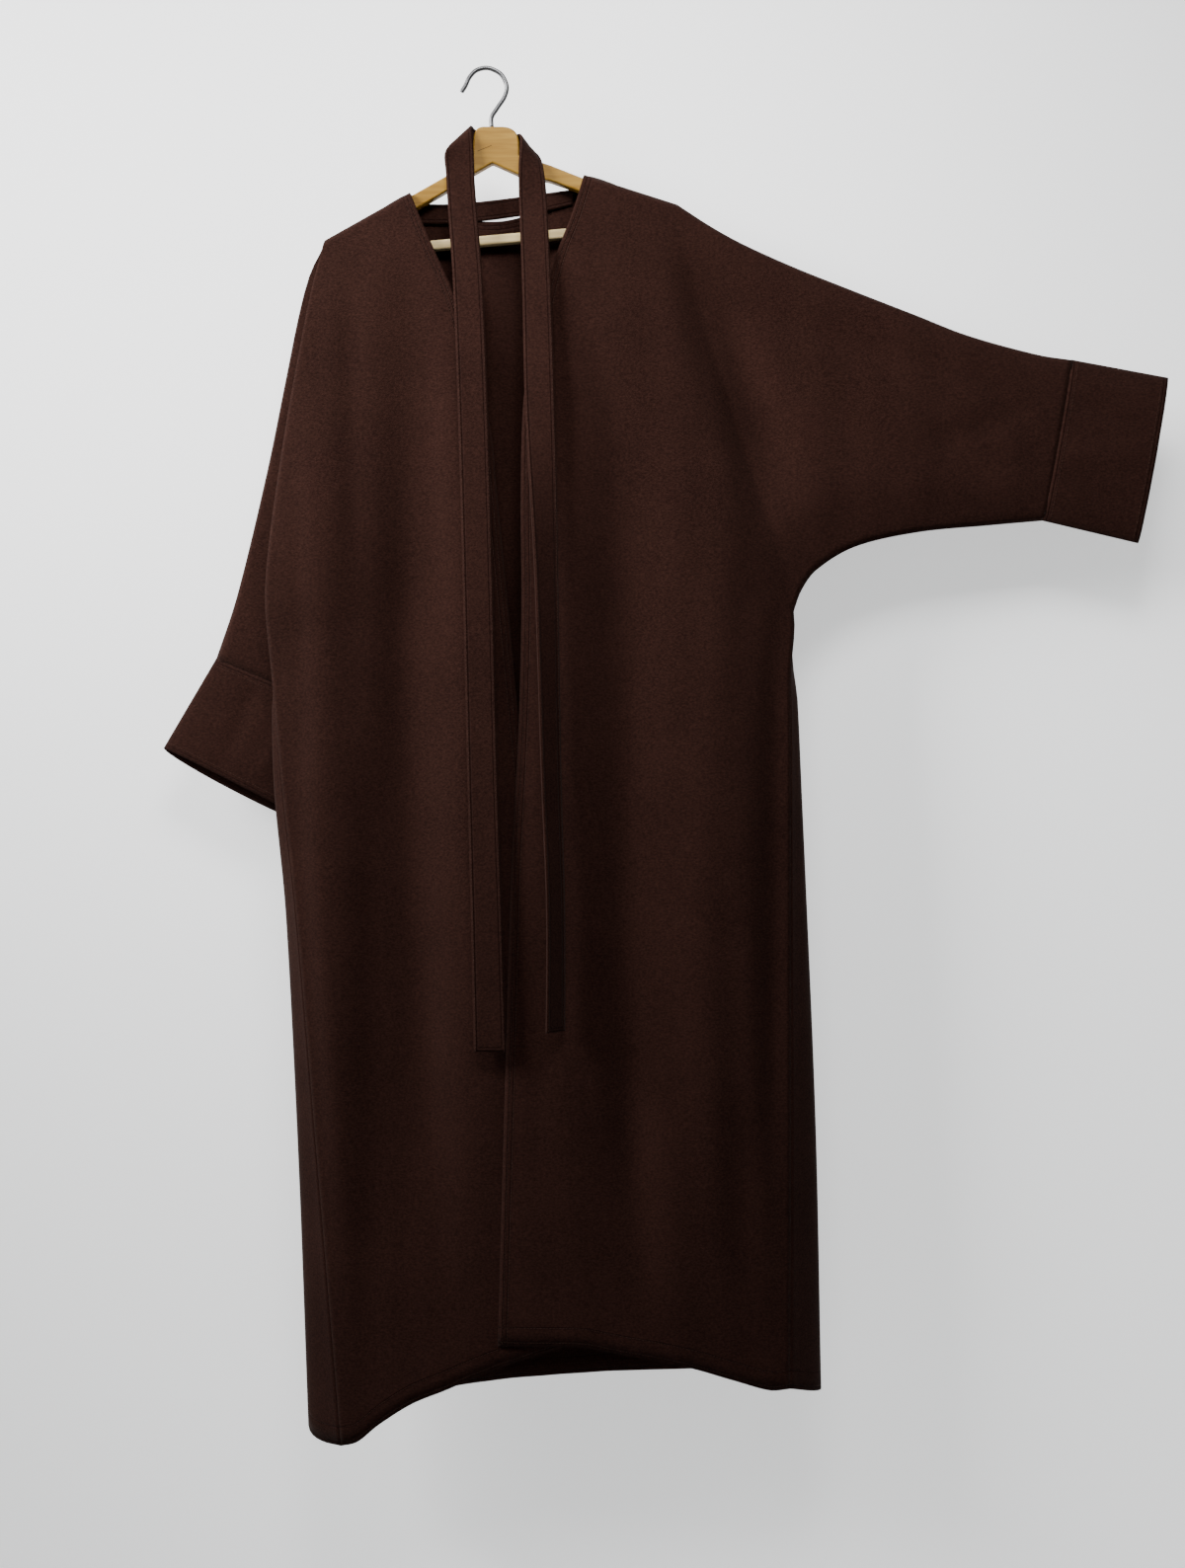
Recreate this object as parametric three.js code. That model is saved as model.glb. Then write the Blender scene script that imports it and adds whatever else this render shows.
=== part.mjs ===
// A long open-front coat with wide sleeves, hung on a wooden hanger, in millimetres.
// +Z is up and the coat faces -Y. The origin is the inside top of the hanger's hook.
// The wearer's left is on +X. That sleeve is held out, and the other hangs down.
import * as THREE from "three";

// Cloth
const CLOTH = 1.6;            // wall of every cut piece
const BAND = 2.4;             // doubled cloth of belt, cuffs and neck strip
const SEAM_GAP = 0.4;         // air between two pieces where they are sewn
const LAP = (CLOTH + SEAM_GAP) / 2;

// Hanger
const WIRE = 3.5;
const WOOD_DEEP = 12;
const BAR_THICK = 11.5;

// Rows of the body blocks, as a share of the way from shoulder line to hem.
const ARMPIT = 0.4;
const TOP_ROWS = [0, 0.003, 0.009, 0.024, 0.05, 0.08, 0.12, 0.16, 0.2, 0.24, 0.28, 0.32, 0.36, ARMPIT];
const SKIRT_ROWS = 15;

// Front edge of the wearer's left front, which lies on top.
const leftEdge = [
  { at: 0, x: 112, y: -1, z: -120 },
  { at: 0.04, x: 98, y: -10, z: -168 },
  { at: 0.08, x: 80, y: -16, z: -216 },
  { at: 0.15, x: 61, y: -25, z: -294 },
  { at: 0.21, x: 46, y: -31, z: -366 },
  { at: 0.3, x: 42, y: -39, z: -480 },
  { at: 0.4, x: 43, y: -46, z: -608 },
  { at: 0.5, x: 40, y: -51, z: -742 },
  { at: 0.62, x: 32, y: -57, z: -903 },
  { at: 0.78, x: 26, y: -64, z: -1118 },
  { at: 1, x: 18, y: -72, z: -1415 },
];

// Fold line from shoulder tip to armpit, then the side seam.
const leftSide = [
  { at: 0, x: 215, y: 0, z: -153 },
  { at: 0.05, x: 226, y: -6, z: -210 },
  { at: 0.1, x: 240, y: -10, z: -268 },
  { at: 0.2, x: 274, y: -15, z: -382 },
  { at: 0.3, x: 312, y: -18, z: -497 },
  { at: 0.4, x: 345, y: -18, z: -612 },
  { at: 0.45, x: 341, y: -25, z: -683 },
  { at: 0.5, x: 341, y: -31, z: -754 },
  { at: 0.6, x: 340, y: -38, z: -897 },
  { at: 0.8, x: 339, y: -48, z: -1181 },
  { at: 1, x: 337, y: -57, z: -1466 },
];

// Top line of the sleeve that is held out, and its underarm seam.
const leftTopLine = [
  { at: 0, x: 215, z: -153 },
  { at: 0.09, x: 252, z: -177 },
  { at: 0.17, x: 288, z: -197 },
  { at: 0.29, x: 343, z: -222 },
  { at: 0.41, x: 398, z: -244 },
  { at: 0.6, x: 483, z: -277 },
  { at: 0.73, x: 542, z: -300 },
  { at: 0.91, x: 622, z: -322 },
  { at: 1, x: 661, z: -328 },
];
const leftUnderarm = [
  { at: 0, x: 345, y: -18, z: -612 },
  { at: 0.07, x: 354, y: -16, z: -588 },
  { at: 0.16, x: 371, y: -13, z: -565 },
  { at: 0.32, x: 415, y: -9, z: -538 },
  { at: 0.54, x: 486, y: -5, z: -521 },
  { at: 0.78, x: 564, y: -2, z: -513 },
  { at: 1, x: 629, y: 0, z: -507 },
];

// Front edge of the wearer's right front, which lies underneath.
const rightEdge = [
  { at: 0, x: -84, y: -1, z: -140 },
  { at: 0.05, x: -60, y: -12, z: -198 },
  { at: 0.1, x: -33, y: -19, z: -259 },
  { at: 0.17, x: -11, y: -26, z: -338 },
  { at: 0.23, x: 7, y: -31, z: -405 },
  { at: 0.3, x: 15, y: -35, z: -482 },
  { at: 0.4, x: 26, y: -40, z: -592 },
  { at: 0.5, x: 39, y: -44, z: -728 },
  { at: 0.6, x: 53, y: -49, z: -865 },
  { at: 0.8, x: 79, y: -57, z: -1138 },
  { at: 1, x: 110, y: -65, z: -1411 },
];

// Outer fold in front of the hanging sleeve, down to the armpit, then the side seam.
const rightSide = [
  { at: 0, x: -178, y: 0, z: -193 },
  { at: 0.05, x: -191, y: -10, z: -252 },
  { at: 0.1, x: -201, y: -19, z: -310 },
  { at: 0.2, x: -220, y: -30, z: -427 },
  { at: 0.3, x: -236, y: -35, z: -545 },
  { at: 0.35, x: -240, y: -33, z: -603 },
  { at: 0.4, x: -236, y: -28, z: -662 },
  { at: 0.5, x: -223, y: -33, z: -804 },
  { at: 0.6, x: -206, y: -40, z: -947 },
  { at: 0.8, x: -180, y: -49, z: -1232 },
  { at: 1, x: -154, y: -58, z: -1518 },
];

// How far the back reaches round beyond each side seam, and where it lies behind.
const backRound = [
  { at: 0, left: 0, right: 0, behind: 1 },
  { at: 0.05, left: 0, right: 0, behind: 3 },
  { at: 0.15, left: 0, right: 0, behind: 7 },
  { at: 0.3, left: 0, right: 2, behind: 12 },
  { at: 0.4, left: 0, right: 4, behind: 13 },
  { at: 0.5, left: 9, right: 9, behind: 14 },
  { at: 0.6, left: 14, right: 17, behind: 16 },
  { at: 0.8, left: 25, right: 30, behind: 19 },
  { at: 1, left: 40, right: 38, behind: 22 },
];

// Hems, as a drop below the straight line between the hem's two ends.
const leftHem = [
  { at: 0, drop: 0 }, { at: 0.28, drop: -14 }, { at: 0.38, drop: -13 },
  { at: 0.63, drop: -10 }, { at: 0.8, drop: -2 }, { at: 0.93, drop: 4 }, { at: 1, drop: 0 },
];
const rightHem = [
  { at: 0, drop: 0 }, { at: 0.22, drop: -8 }, { at: 0.42, drop: -16 }, { at: 0.7, drop: -18 },
  { at: 0.84, drop: -8 }, { at: 0.93, drop: 2 }, { at: 1, drop: 0 },
];
const backHem = [
  { at: 0, drop: 0 }, { at: 0.1, drop: 2 }, { at: 0.2, drop: -14 }, { at: 0.32, drop: -27 },
  { at: 0.5, drop: -22 }, { at: 0.7, drop: -8 }, { at: 0.85, drop: -3 }, { at: 1, drop: 0 },
];

// Shoulder line and back neckline, from the right shoulder tip to the left one.
const backTop = [
  { at: 0, x: -178, z: -193 }, { at: 0.12, x: -131, z: -166.5 }, { at: 0.24, x: -84, z: -140 },
  { at: 0.3, x: -62, z: -157 }, { at: 0.4, x: -24, z: -166 }, { at: 0.5, x: 16, z: -168 },
  { at: 0.6, x: 54, z: -164 }, { at: 0.68, x: 86, z: -150 }, { at: 0.74, x: 112, z: -120 },
  { at: 0.87, x: 163, z: -136.5 }, { at: 1, x: 215, z: -153 },
];

// Sleeve that hangs behind the body: its outer line, and its seams in that folded state.
const hungTopLine = [
  { at: 0, x: -178, y: 0, z: -193 },
  { at: 0.05, x: -190, y: 1, z: -215 },
  { at: 0.1, x: -199, y: 2, z: -237 },
  { at: 0.19, x: -210, y: 3, z: -280 },
  { at: 0.33, x: -224, y: 5, z: -347 },
  { at: 0.56, x: -247, y: 8, z: -456 },
  { at: 0.84, x: -281, y: 12, z: -592 },
  { at: 1, x: -305, y: 14, z: -664 },
];
const HUNG_CROTCH = { x: -60, y: 3, z: -640 };
const hungUnderarm = [
  { at: 0, x: -236, y: -17, z: -662 },
  { at: 0.25, x: -195, y: -13, z: -636 },
  { at: 0.5, x: -141, y: -6, z: -624 },
  { at: 0.8, x: -85, y: -1, z: -632 },
  { at: 1, x: -60, y: 3, z: -640 },
];

// Cuffs: top and bottom corner where each starts and ends, and half its depth.
const leftCuff = {
  seam: { top: [661, 0, -328], bottom: [629, 0, -507], deep: 11 },
  end: { top: [768, 0, -348], bottom: [735, 0, -532], deep: 15 },
};
const rightCuff = {
  seam: { top: [-305, 14, -664], bottom: [-140, 12, -734], deep: 9 },
  end: { top: [-364, 15, -764], bottom: [-200, 13, -848], deep: 12 },
};

// The largest folds: a soft trough (depth > 0) or ridge along a line in the X-Z plane.
const leftFrontFolds = [
  { x1: 212, z1: -190, x2: 325, z2: -540, wide: 26, depth: 9 },
  { x1: 330, z1: -640, x2: 322, z2: -1180, wide: 22, depth: 7 },
  { x1: 110, z1: -400, x2: 120, z2: -1330, wide: 34, depth: 5 },
  { x1: 215, z1: -430, x2: 200, z2: -1320, wide: 46, depth: -6 },
  { x1: 480, z1: -420, x2: 610, z2: -372, wide: 20, depth: 5 },
];
const rightFrontFolds = [
  { x1: -105, z1: -250, x2: -88, z2: -1330, wide: 34, depth: 11 },
  { x1: -180, z1: -300, x2: -158, z2: -1340, wide: 30, depth: -5 },
  { x1: -28, z1: -420, x2: -20, z2: -1250, wide: 26, depth: -4 },
];
const backFolds = [
  { x1: 10, z1: -300, x2: 20, z2: -1380, wide: 44, depth: -6 },
  { x1: 150, z1: -260, x2: 165, z2: -1400, wide: 40, depth: 7 },
  { x1: -60, z1: -760, x2: -70, z2: -1420, wide: 36, depth: 6 },
  { x1: 255, z1: -620, x2: 270, z2: -1400, wide: 34, depth: -5 },
];

const point = (p) => new THREE.Vector3(p.x, p.y ?? 0, p.z);
const mix = (a, b, t) => a + (b - a) * t;
const ease = (t) => {
  const s = Math.min(1, Math.max(0, t));
  return s * s * (3 - 2 * s);
};

// A named column of a table, read smoothly at any place between its rows.
function read(table, column, at) {
  const last = table.length - 1;
  let i = 0;
  while (i < last - 1 && at > table[i + 1].at) i += 1;
  const slope = (k) => {
    const a = table[Math.max(0, k - 1)];
    const b = table[Math.min(last, k + 1)];
    return (b[column] - a[column]) / (b.at - a.at);
  };
  const lo = table[i];
  const hi = table[i + 1];
  const step = hi.at - lo.at;
  const t = (at - lo.at) / step;
  const t2 = t * t;
  const t3 = t2 * t;
  return (2 * t3 - 3 * t2 + 1) * lo[column] + (t3 - 2 * t2 + t) * step * slope(i)
    + (3 * t2 - 2 * t3) * hi[column] + (t3 - t2) * step * slope(i + 1);
}

function readPoint(table, at) {
  const y = table[0].y === undefined ? 0 : read(table, "y", at);
  return new THREE.Vector3(read(table, "x", at), y, read(table, "z", at));
}

// How far the folds of a panel push it back at a place.
function foldPush(folds, x, z) {
  let push = 0;
  for (const f of folds) {
    const dx = f.x2 - f.x1;
    const dz = f.z2 - f.z1;
    const length = Math.hypot(dx, dz);
    const along = ((x - f.x1) * dx + (z - f.z1) * dz) / (length * length);
    const aside = ((x - f.x1) * dz - (z - f.z1) * dx) / length;
    const taper = ease((along + 0.15) / 0.4) * ease((1.15 - along) / 0.4);
    push += f.depth * taper * Math.exp(-((aside / f.wide) ** 2));
  }
  return push;
}

// Cloth leaves the shoulder seam over the hanger's rounded top.
function overHanger(drop) {
  const d = Math.max(0, drop);
  return 10.4 * Math.min(1, Math.sqrt(d / 5)) * Math.exp(-d / 150);
}

const shoulderLeft = (x) => -120 - (33 / 103) * (x - 112);
const shoulderRight = (x) => -140 + (53 / 94) * (x + 84);

// A sheet is a set of points and the flat cells between them.
class Sheet {
  constructor() {
    this.points = [];
    this.cells = [];
    this.found = new Map();
  }

  add(p) {
    const key = `${p.x.toFixed(3)},${p.y.toFixed(3)},${p.z.toFixed(3)}`;
    if (!this.found.has(key)) {
      this.found.set(key, this.points.length);
      this.points.push(p.clone());
    }
    return this.found.get(key);
  }

  // rows is a list of equally long lists of points; turned says which side is out.
  grid(rows, turned = false) {
    const ids = rows.map((row) => row.map((p) => this.add(p)));
    for (let r = 0; r + 1 < ids.length; r += 1) {
      for (let c = 0; c + 1 < ids[r].length; c += 1) {
        const quad = [ids[r][c], ids[r + 1][c], ids[r + 1][c + 1], ids[r][c + 1]];
        if (turned) quad.reverse();
        this.triangle(quad[0], quad[1], quad[2]);
        this.triangle(quad[0], quad[2], quad[3]);
      }
    }
  }

  triangle(a, b, c) {
    if (a !== b && b !== c && c !== a) this.cells.push([a, b, c]);
  }

  // The closed wall of the given thickness whose middle is this sheet.
  wall(thickness) {
    const normals = this.points.map(() => new THREE.Vector3());
    for (const [a, b, c] of this.cells) {
      const ab = this.points[b].clone().sub(this.points[a]);
      const ac = this.points[c].clone().sub(this.points[a]);
      const n = ab.cross(ac).normalize();
      for (const i of [a, b, c]) normals[i].add(n);
    }
    const count = this.points.length;
    const position = [];
    for (const side of [0.5, -0.5]) {
      this.points.forEach((p, i) => {
        const q = p.clone().addScaledVector(normals[i].clone().normalize(), side * thickness);
        position.push(q.x, q.y, q.z);
      });
    }
    const index = [];
    const edges = new Map();
    for (const [a, b, c] of this.cells) {
      index.push(a, b, c, a + count, c + count, b + count);
      for (const [p, q] of [[a, b], [b, c], [c, a]]) edges.set(`${p},${q}`, [p, q]);
    }
    for (const [p, q] of edges.values()) {
      if (!edges.has(`${q},${p}`)) index.push(p, p + count, q + count, p, q + count, q);
    }
    const geometry = new THREE.BufferGeometry();
    geometry.setAttribute("position", new THREE.Float32BufferAttribute(position, 3));
    geometry.setIndex(index);
    geometry.computeVertexNormals();
    return geometry;
  }
}

const spread = (count) => Array.from({ length: count + 1 }, (_, i) => i / count);
const bodyRows = [
  ...TOP_ROWS,
  ...spread(SKIRT_ROWS).slice(1).map((t) => mix(ARMPIT, 1, t)),
];

// Where the held side's pieces part, side -1 for the front and 1 for the back: face to face
// along the sleeve, edge to edge down the side.
function seamShift(v, side) {
  const w = ease((v - ARMPIT) / 0.08);
  return new THREE.Vector3(side * 0.75 * w, side * mix(LAP, 0.5, w), 0);
}

// One front: a straight row from its edge to its side, eased into shoulder line and hem.
function frontRows(edge, side, hem, folds, shoulder, shift, columns) {
  return bodyRows.map((v) => {
    const from = readPoint(edge, v);
    const to = readPoint(side, v);
    return spread(columns).map((u) => {
      const p = from.clone().lerp(to, u);
      p.z -= read(hem, "drop", u) * v ** 5;
      const free = Math.sin(Math.PI * u) ** 0.8;
      p.y -= 9 * free * ease(v / 0.3);
      const inside = v > ARMPIT ? ease((1 - u) / 0.12) : 1;
      p.y += foldPush(folds, p.x, p.z) * inside * ease(v / 0.1);
      if (v === 0) p.y = 0;
      else p.y -= overHanger(shoulder(p.x) - p.z) * (1 - ease((v - 0.3) / 0.1));
      p.add(v === 0 ? new THREE.Vector3(0, -LAP, 0) : shift(v).multiplyScalar(u));
      return p;
    });
  });
}

// A block between two crosswise lines and two lengthwise lines that meet at its corners.
// shares gives each row's place from top to bottom.
function coons(start, finish, top, bottom, shares) {
  const last = start.length - 1;
  return start.map((a, r) => top.map((t, c) => {
    const u = c / (top.length - 1);
    const v = shares[r];
    const p = new THREE.Vector3();
    p.addScaledVector(a, 1 - u).addScaledVector(finish[r], u);
    p.addScaledVector(t, 1 - v).addScaledVector(bottom[c], v);
    p.addScaledVector(start[0], -(1 - u) * (1 - v)).addScaledVector(finish[0], -u * (1 - v));
    p.addScaledVector(start[last], -(1 - u) * v).addScaledVector(finish[last], -u * v);
    return p;
  }));
}

const armRows = TOP_ROWS.length;
const armShares = TOP_ROWS.map((v) => v / ARMPIT);
const corner = (p) => new THREE.Vector3(...p);

// A place on a cuff's section: w runs from its top line to its bottom, side is -1 in front.
function cuffPoint(section, w, side) {
  const p = corner(section.top).lerp(corner(section.bottom), w);
  const round = 2 * Math.sqrt(Math.max(0, w * (1 - w)));
  p.y += side * (LAP + (section.deep - LAP) * round);
  return p;
}

// Half of the sleeve that is held out: side is -1 for the front half, 1 for the back half.
function heldSleeve(start, side, folds) {
  const columns = 14;
  const along = (table) => spread(columns).map((u) => {
    const p = readPoint(table, u);
    p.y += side * LAP;
    return p;
  });
  const top = along(leftTopLine);
  const bottom = along(leftUnderarm);
  top[0].copy(start[0]);
  bottom[0].copy(start[start.length - 1]);
  const finish = armShares.map((w) => cuffPoint(leftCuff.seam, w, side));
  top[columns].copy(finish[0]);
  bottom[columns].copy(finish[finish.length - 1]);
  const rows = coons(start, finish, top, bottom, armShares);
  rows.forEach((row, r) => row.forEach((p, c) => {
    const w = armShares[r];
    const u = c / columns;
    const free = 4 * w * (1 - w) * Math.sin(Math.PI * u);
    p.y += side * 6 * free;
    if (c > 0 && c < columns) p.y += foldPush(folds, p.x, p.z) * Math.min(1, free * 2);
  }));
  return rows;
}

// Half of the sleeve that hangs: it folds back behind the body's outer fold, runs inward
// to a second fold, and comes out again as the sleeve. The two halves nest.
function hungSleeve(start, side) {
  const inward = [0, 0.02, 0.05, 0.1, 0.3, 0.55, 0.8, 0.95, 1];
  const under = 4 / 14;
  const outward = [0, 0.025, ...spread(14).slice(1)];
  const tip = readPoint(hungTopLine, 0);
  const crotch = point(HUNG_CROTCH);
  crotch.x += side < 0 ? -3 : 6;
  const wrap = side < 0 ? 0 : 4.5;
  const cuffAt = (b) => {
    if (b >= under) return cuffPoint(rightCuff.seam, 1 - (b - under) / (1 - under), side);
    const t = b / under;
    const p = crotch.clone().lerp(corner(rightCuff.seam.bottom), t);
    p.y += side * (LAP + wrap * (1 - t)) * Math.min(1, b / 0.025);
    return p;
  };
  return start.map((ridge, r) => {
    const share = armShares[r];
    if (TOP_ROWS[r] < 0.05) return [...inward, ...outward.slice(1)].map(() => ridge.clone());
    const grow = ease((share - 0.05) / 0.3);
    const outer = readPoint(hungTopLine, share);
    outer.y += side * LAP;
    const deep = tip.clone().lerp(crotch, share);
    const valley = ridge.clone().lerp(outer, 0.35).lerp(deep, grow);
    valley.x += side * 3.4 * grow * (1 - share ** 4);
    const row = [];
    for (const a of inward) {
      const p = ridge.clone().lerp(valley, a);
      const seam = readPoint(hungUnderarm, a);
      const plain = readPoint(hungUnderarm, 0).lerp(point(HUNG_CROTCH), a);
      p.x += (seam.x - plain.x) * share ** 3;
      p.z += (seam.z - plain.z) * share ** 3;
      const middle = side < 0 ? mix(-9, -1, a) : mix(-17, -8, a);
      const spare = side < 0 ? 1.6 * (1 - a) : wrap * ease(a / 0.9);
      const nested = side * (LAP + spare) * (a < 1 ? 1 : 0);
      const level = mix(middle * grow, seam.y - nested, share ** 6);
      if (a > 0) p.y = mix(ridge.y, level, ease(a / (side < 0 ? 0.025 : 0.08)));
      row.push(p);
    }
    for (const b of outward.slice(1)) {
      const p = valley.clone().lerp(outer, b);
      const end = cuffAt(b);
      const plain = crotch.clone().lerp(cuffAt(1), b);
      p.x += (end.x - plain.x) * share ** 2;
      p.z += (end.z - plain.z) * share ** 2;
      const apart = side < 0 ? 4 : 15;
      const free = 2 * Math.sqrt(b * (1 - b));
      const level = mix(apart * grow, outer.y, ease(b)) + side * 4 * free * grow;
      p.y = mix(level, end.y, share ** 6);
      row.push(p);
    }
    return row;
  });
}

// The back: behind the hanger, then round both sides to the side seams.
function backRows() {
  const keys = [0, 1 / 13, 2 / 13, 5 / 13, 8 / 13, 11 / 13, 12 / 13, 1];
  return bodyRows.map((v) => {
    const behind = read(backRound, "behind", v);
    const roundLeft = read(backRound, "left", v);
    const roundRight = read(backRound, "right", v);
    const below = ease((v - 0.3) / 0.1);
    const hung = readPoint(rightSide, v).add(hungShift(v, 1));
    const nest = ease(v / 0.08) * (1 - ease((v - 0.34) / 0.06));
    hung.x += mix(12 * Math.min(1, v / 0.16), 5, ease((v - 0.34) / 0.06)) * ease(v / 0.08)
      * (1 - ease((v - ARMPIT) / 0.05));
    hung.y += 10 * nest * Math.min(1, v / 0.14);
    const held = readPoint(leftSide, v).add(seamShift(v, 1));
    if (v < ARMPIT) held.y = mix(behind, held.y, below);
    if (v === 0) held.y = LAP;
    const push = 26 * ease((v - 0.06) / 0.12) * (1 - ease((v - 0.5) / 0.12));
    const left = behind - push;
    const fold = mix(-178, HUNG_CROTCH.x, Math.min(1, v / ARMPIT));
    const l = hung.x - roundLeft;
    const r = held.x + roundRight;
    const soft = 2 * ease(v / 0.1);
    const x = [hung.x, l, l + 22 + roundLeft, mix(l, r, 0.36), mix(l, r, 0.62), r - 45, r - 14, held.x];
    const y = [hung.y, mix(hung.y, left, 0.45), left - soft, mix(left, behind, 0.55), behind,
      behind, mix(held.y, behind, 0.8), held.y];
    if (nest > 0) {
      const low = nest * ease((v - 0.04) / 0.1);
      x[1] = mix(x[1], hung.x + 8, nest);
      x[2] = mix(x[2], hung.x + 44, nest);
      y[1] = mix(y[1], hung.y - 5, low);
      y[2] = mix(y[2], hung.y - 5, low);
      x[3] = mix(x[3], Math.max(fold + 22, hung.x + 80), nest);
      y[3] = mix(y[3], -15, low * ease(v / 0.2));
    }
    if (v > ARMPIT) {
      x[6] = r;
      y[6] = mix(held.y, behind, 0.45);
    }
    const table = keys.map((at, i) => ({ at, x: x[i], y: y[i], z: 0 }));
    return spread(26).map((u) => {
      const p = readPoint(table, u);
      p.z = mix(hung.z, held.z, u);
      const top = readPoint(backTop, u);
      const atTop = v < 0.2 ? (1 - v / 0.2) ** 3 : 0;
      const first = new THREE.Vector3(mix(-178, 215, u), 0, mix(-193, -153, u));
      p.z += (top.z - first.z) * atTop;
      p.x = mix(p.x, top.x, atTop);
      p.z -= read(backHem, "drop", u) * v ** 5;
      const inside = ease(u / 0.12) * ease((1 - u) / 0.12);
      p.y += foldPush(backFolds, p.x, p.z) * inside;
      if (v === 0) p.y = LAP;
      const arm = p.x < 14 ? shoulderRight(p.x) : shoulderLeft(p.x);
      p.y += overHanger(arm - p.z) * (1 - ease((v - 0.24) / 0.1)) * ease((p.x + 190) / 8);
      p.y += 3.4 * Math.exp(-(((p.x - 12) / 95) ** 4)) * (1 - ease(v / 0.16));
      return p;
    });
  });
}

// Where the hung side's pieces part: nested above the armpit, edge to edge below it.
function hungShift(v, side) {
  const w = ease((v - ARMPIT) / 0.1);
  const x = side * mix(LAP * ease(v / 0.05), -0.75, w);
  return new THREE.Vector3(x, side * LAP, 0);
}

function frontPanel(rows, sleeve, turned) {
  const sheet = new Sheet();
  sheet.grid(rows, turned);
  sheet.grid(sleeve, turned);
  return sheet.wall(CLOTH);
}

function leftFront() {
  const rows = frontRows(leftEdge, leftSide, leftHem, leftFrontFolds, shoulderLeft,
    (v) => seamShift(v, -1), 14);
  const start = rows.slice(0, armRows).map((row) => row[row.length - 1]);
  return frontPanel(rows, heldSleeve(start, -1, leftFrontFolds), false);
}

function rightFront() {
  const rows = frontRows(rightEdge, rightSide, rightHem, rightFrontFolds, shoulderRight,
    (v) => hungShift(v, -1), 14);
  const start = rows.slice(0, armRows).map((row) => row[row.length - 1]);
  return frontPanel(rows, hungSleeve(start, -1), true);
}

function back() {
  const rows = backRows();
  const arm = rows.slice(0, armRows);
  const sheet = new Sheet();
  sheet.grid(rows, true);
  sheet.grid(heldSleeve(arm.map((row) => row[row.length - 1]), 1, []), true);
  sheet.grid(hungSleeve(arm.map((row) => row[0]), 1), false);
  return sheet.wall(CLOTH);
}

// A closed ring of cloth between two sections.
function cuff(sections) {
  const around = 36;
  const steps = spread(3);
  const sheet = new Sheet();
  const rows = steps.map((t) => spread(around).map((a) => {
    const angle = a * 2 * Math.PI;
    const w = (1 - Math.cos(angle)) / 2;
    const place = (s) => {
      const p = corner(s.top).lerp(corner(s.bottom), w);
      p.y -= Math.sin(angle) * s.deep;
      return p;
    };
    const share = t === 0 ? 0.0035 : t;
    return place(sections.seam).lerp(place(sections.end), share);
  }));
  sheet.grid(rows, sections === rightCuff);
  return sheet.wall(BAND);
}

// A flat band along a table of places. wide is its width there, and turn is the angle of
// its width from +X towards +Z, with lean the part of it that points along Y.
function band(table, columns) {
  const sheet = new Sheet();
  sheet.grid(table.map((s) => {
    const turn = THREE.MathUtils.degToRad(s.turn);
    const lean = THREE.MathUtils.degToRad(s.lean);
    const across = new THREE.Vector3(
      Math.cos(turn) * Math.cos(lean), Math.sin(lean), Math.sin(turn) * Math.cos(lean));
    return spread(columns).map((u) => point(s).addScaledVector(across, (u - 0.5) * s.wide));
  }));
  return sheet;
}

function smooth(table, count) {
  return spread(count).map((at) => {
    const row = { at };
    for (const column of ["x", "y", "z", "wide", "turn", "lean"]) row[column] = read(table, column, at);
    return row;
  });
}

// The belt hangs from behind the hanger's neck, over both arms and down in front.
const beltPath = [
  { at: 0, x: 10, y: -79, z: -1094, wide: 35, turn: 0, lean: 0 },
  { at: 0.1, x: 6, y: -74, z: -950, wide: 34, turn: 0, lean: 0 },
  { at: 0.2, x: 1, y: -67, z: -790, wide: 33, turn: 0, lean: 0 },
  { at: 0.3, x: -5, y: -59, z: -560, wide: 33, turn: 0, lean: 0 },
  { at: 0.38, x: -11, y: -47, z: -380, wide: 33, turn: 0, lean: 0 },
  { at: 0.42, x: -17, y: -32, z: -250, wide: 33, turn: 0, lean: 0 },
  { at: 0.45, x: -24, y: -18, z: -150, wide: 32, turn: 0, lean: 0 },
  { at: 0.465, x: -26, y: -14, z: -106, wide: 31, turn: 24, lean: 10 },
  { at: 0.48, x: -24, y: 0, z: -84, wide: 26, turn: 55, lean: 25 },
  { at: 0.49, x: -8, y: 12.6, z: -82, wide: 26, turn: 80, lean: 8 },
  { at: 0.51, x: 30, y: 12.8, z: -84, wide: 26, turn: 100, lean: -8 },
  { at: 0.52, x: 48, y: 1, z: -84, wide: 26, turn: 128, lean: -25 },
  { at: 0.5275, x: 53, y: -10, z: -95, wide: 27, turn: 146, lean: -18 },
  { at: 0.538, x: 54, y: -16, z: -116, wide: 29, turn: 165, lean: -8 },
  { at: 0.55, x: 55, y: -18, z: -150, wide: 31, turn: 180, lean: 0 },
  { at: 0.58, x: 59, y: -32, z: -250, wide: 32, turn: 180, lean: 0 },
  { at: 0.62, x: 63, y: -49, z: -380, wide: 33, turn: 180, lean: 0 },
  { at: 0.7, x: 70, y: -63, z: -560, wide: 28, turn: 180, lean: -25 },
  { at: 0.8, x: 76, y: -74, z: -790, wide: 26, turn: 180, lean: -38 },
  { at: 0.9, x: 81, y: -80, z: -940, wide: 26, turn: 180, lean: -45 },
  { at: 1, x: 81, y: -84, z: -1072, wide: 28, turn: 180, lean: -48 },
];

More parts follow.
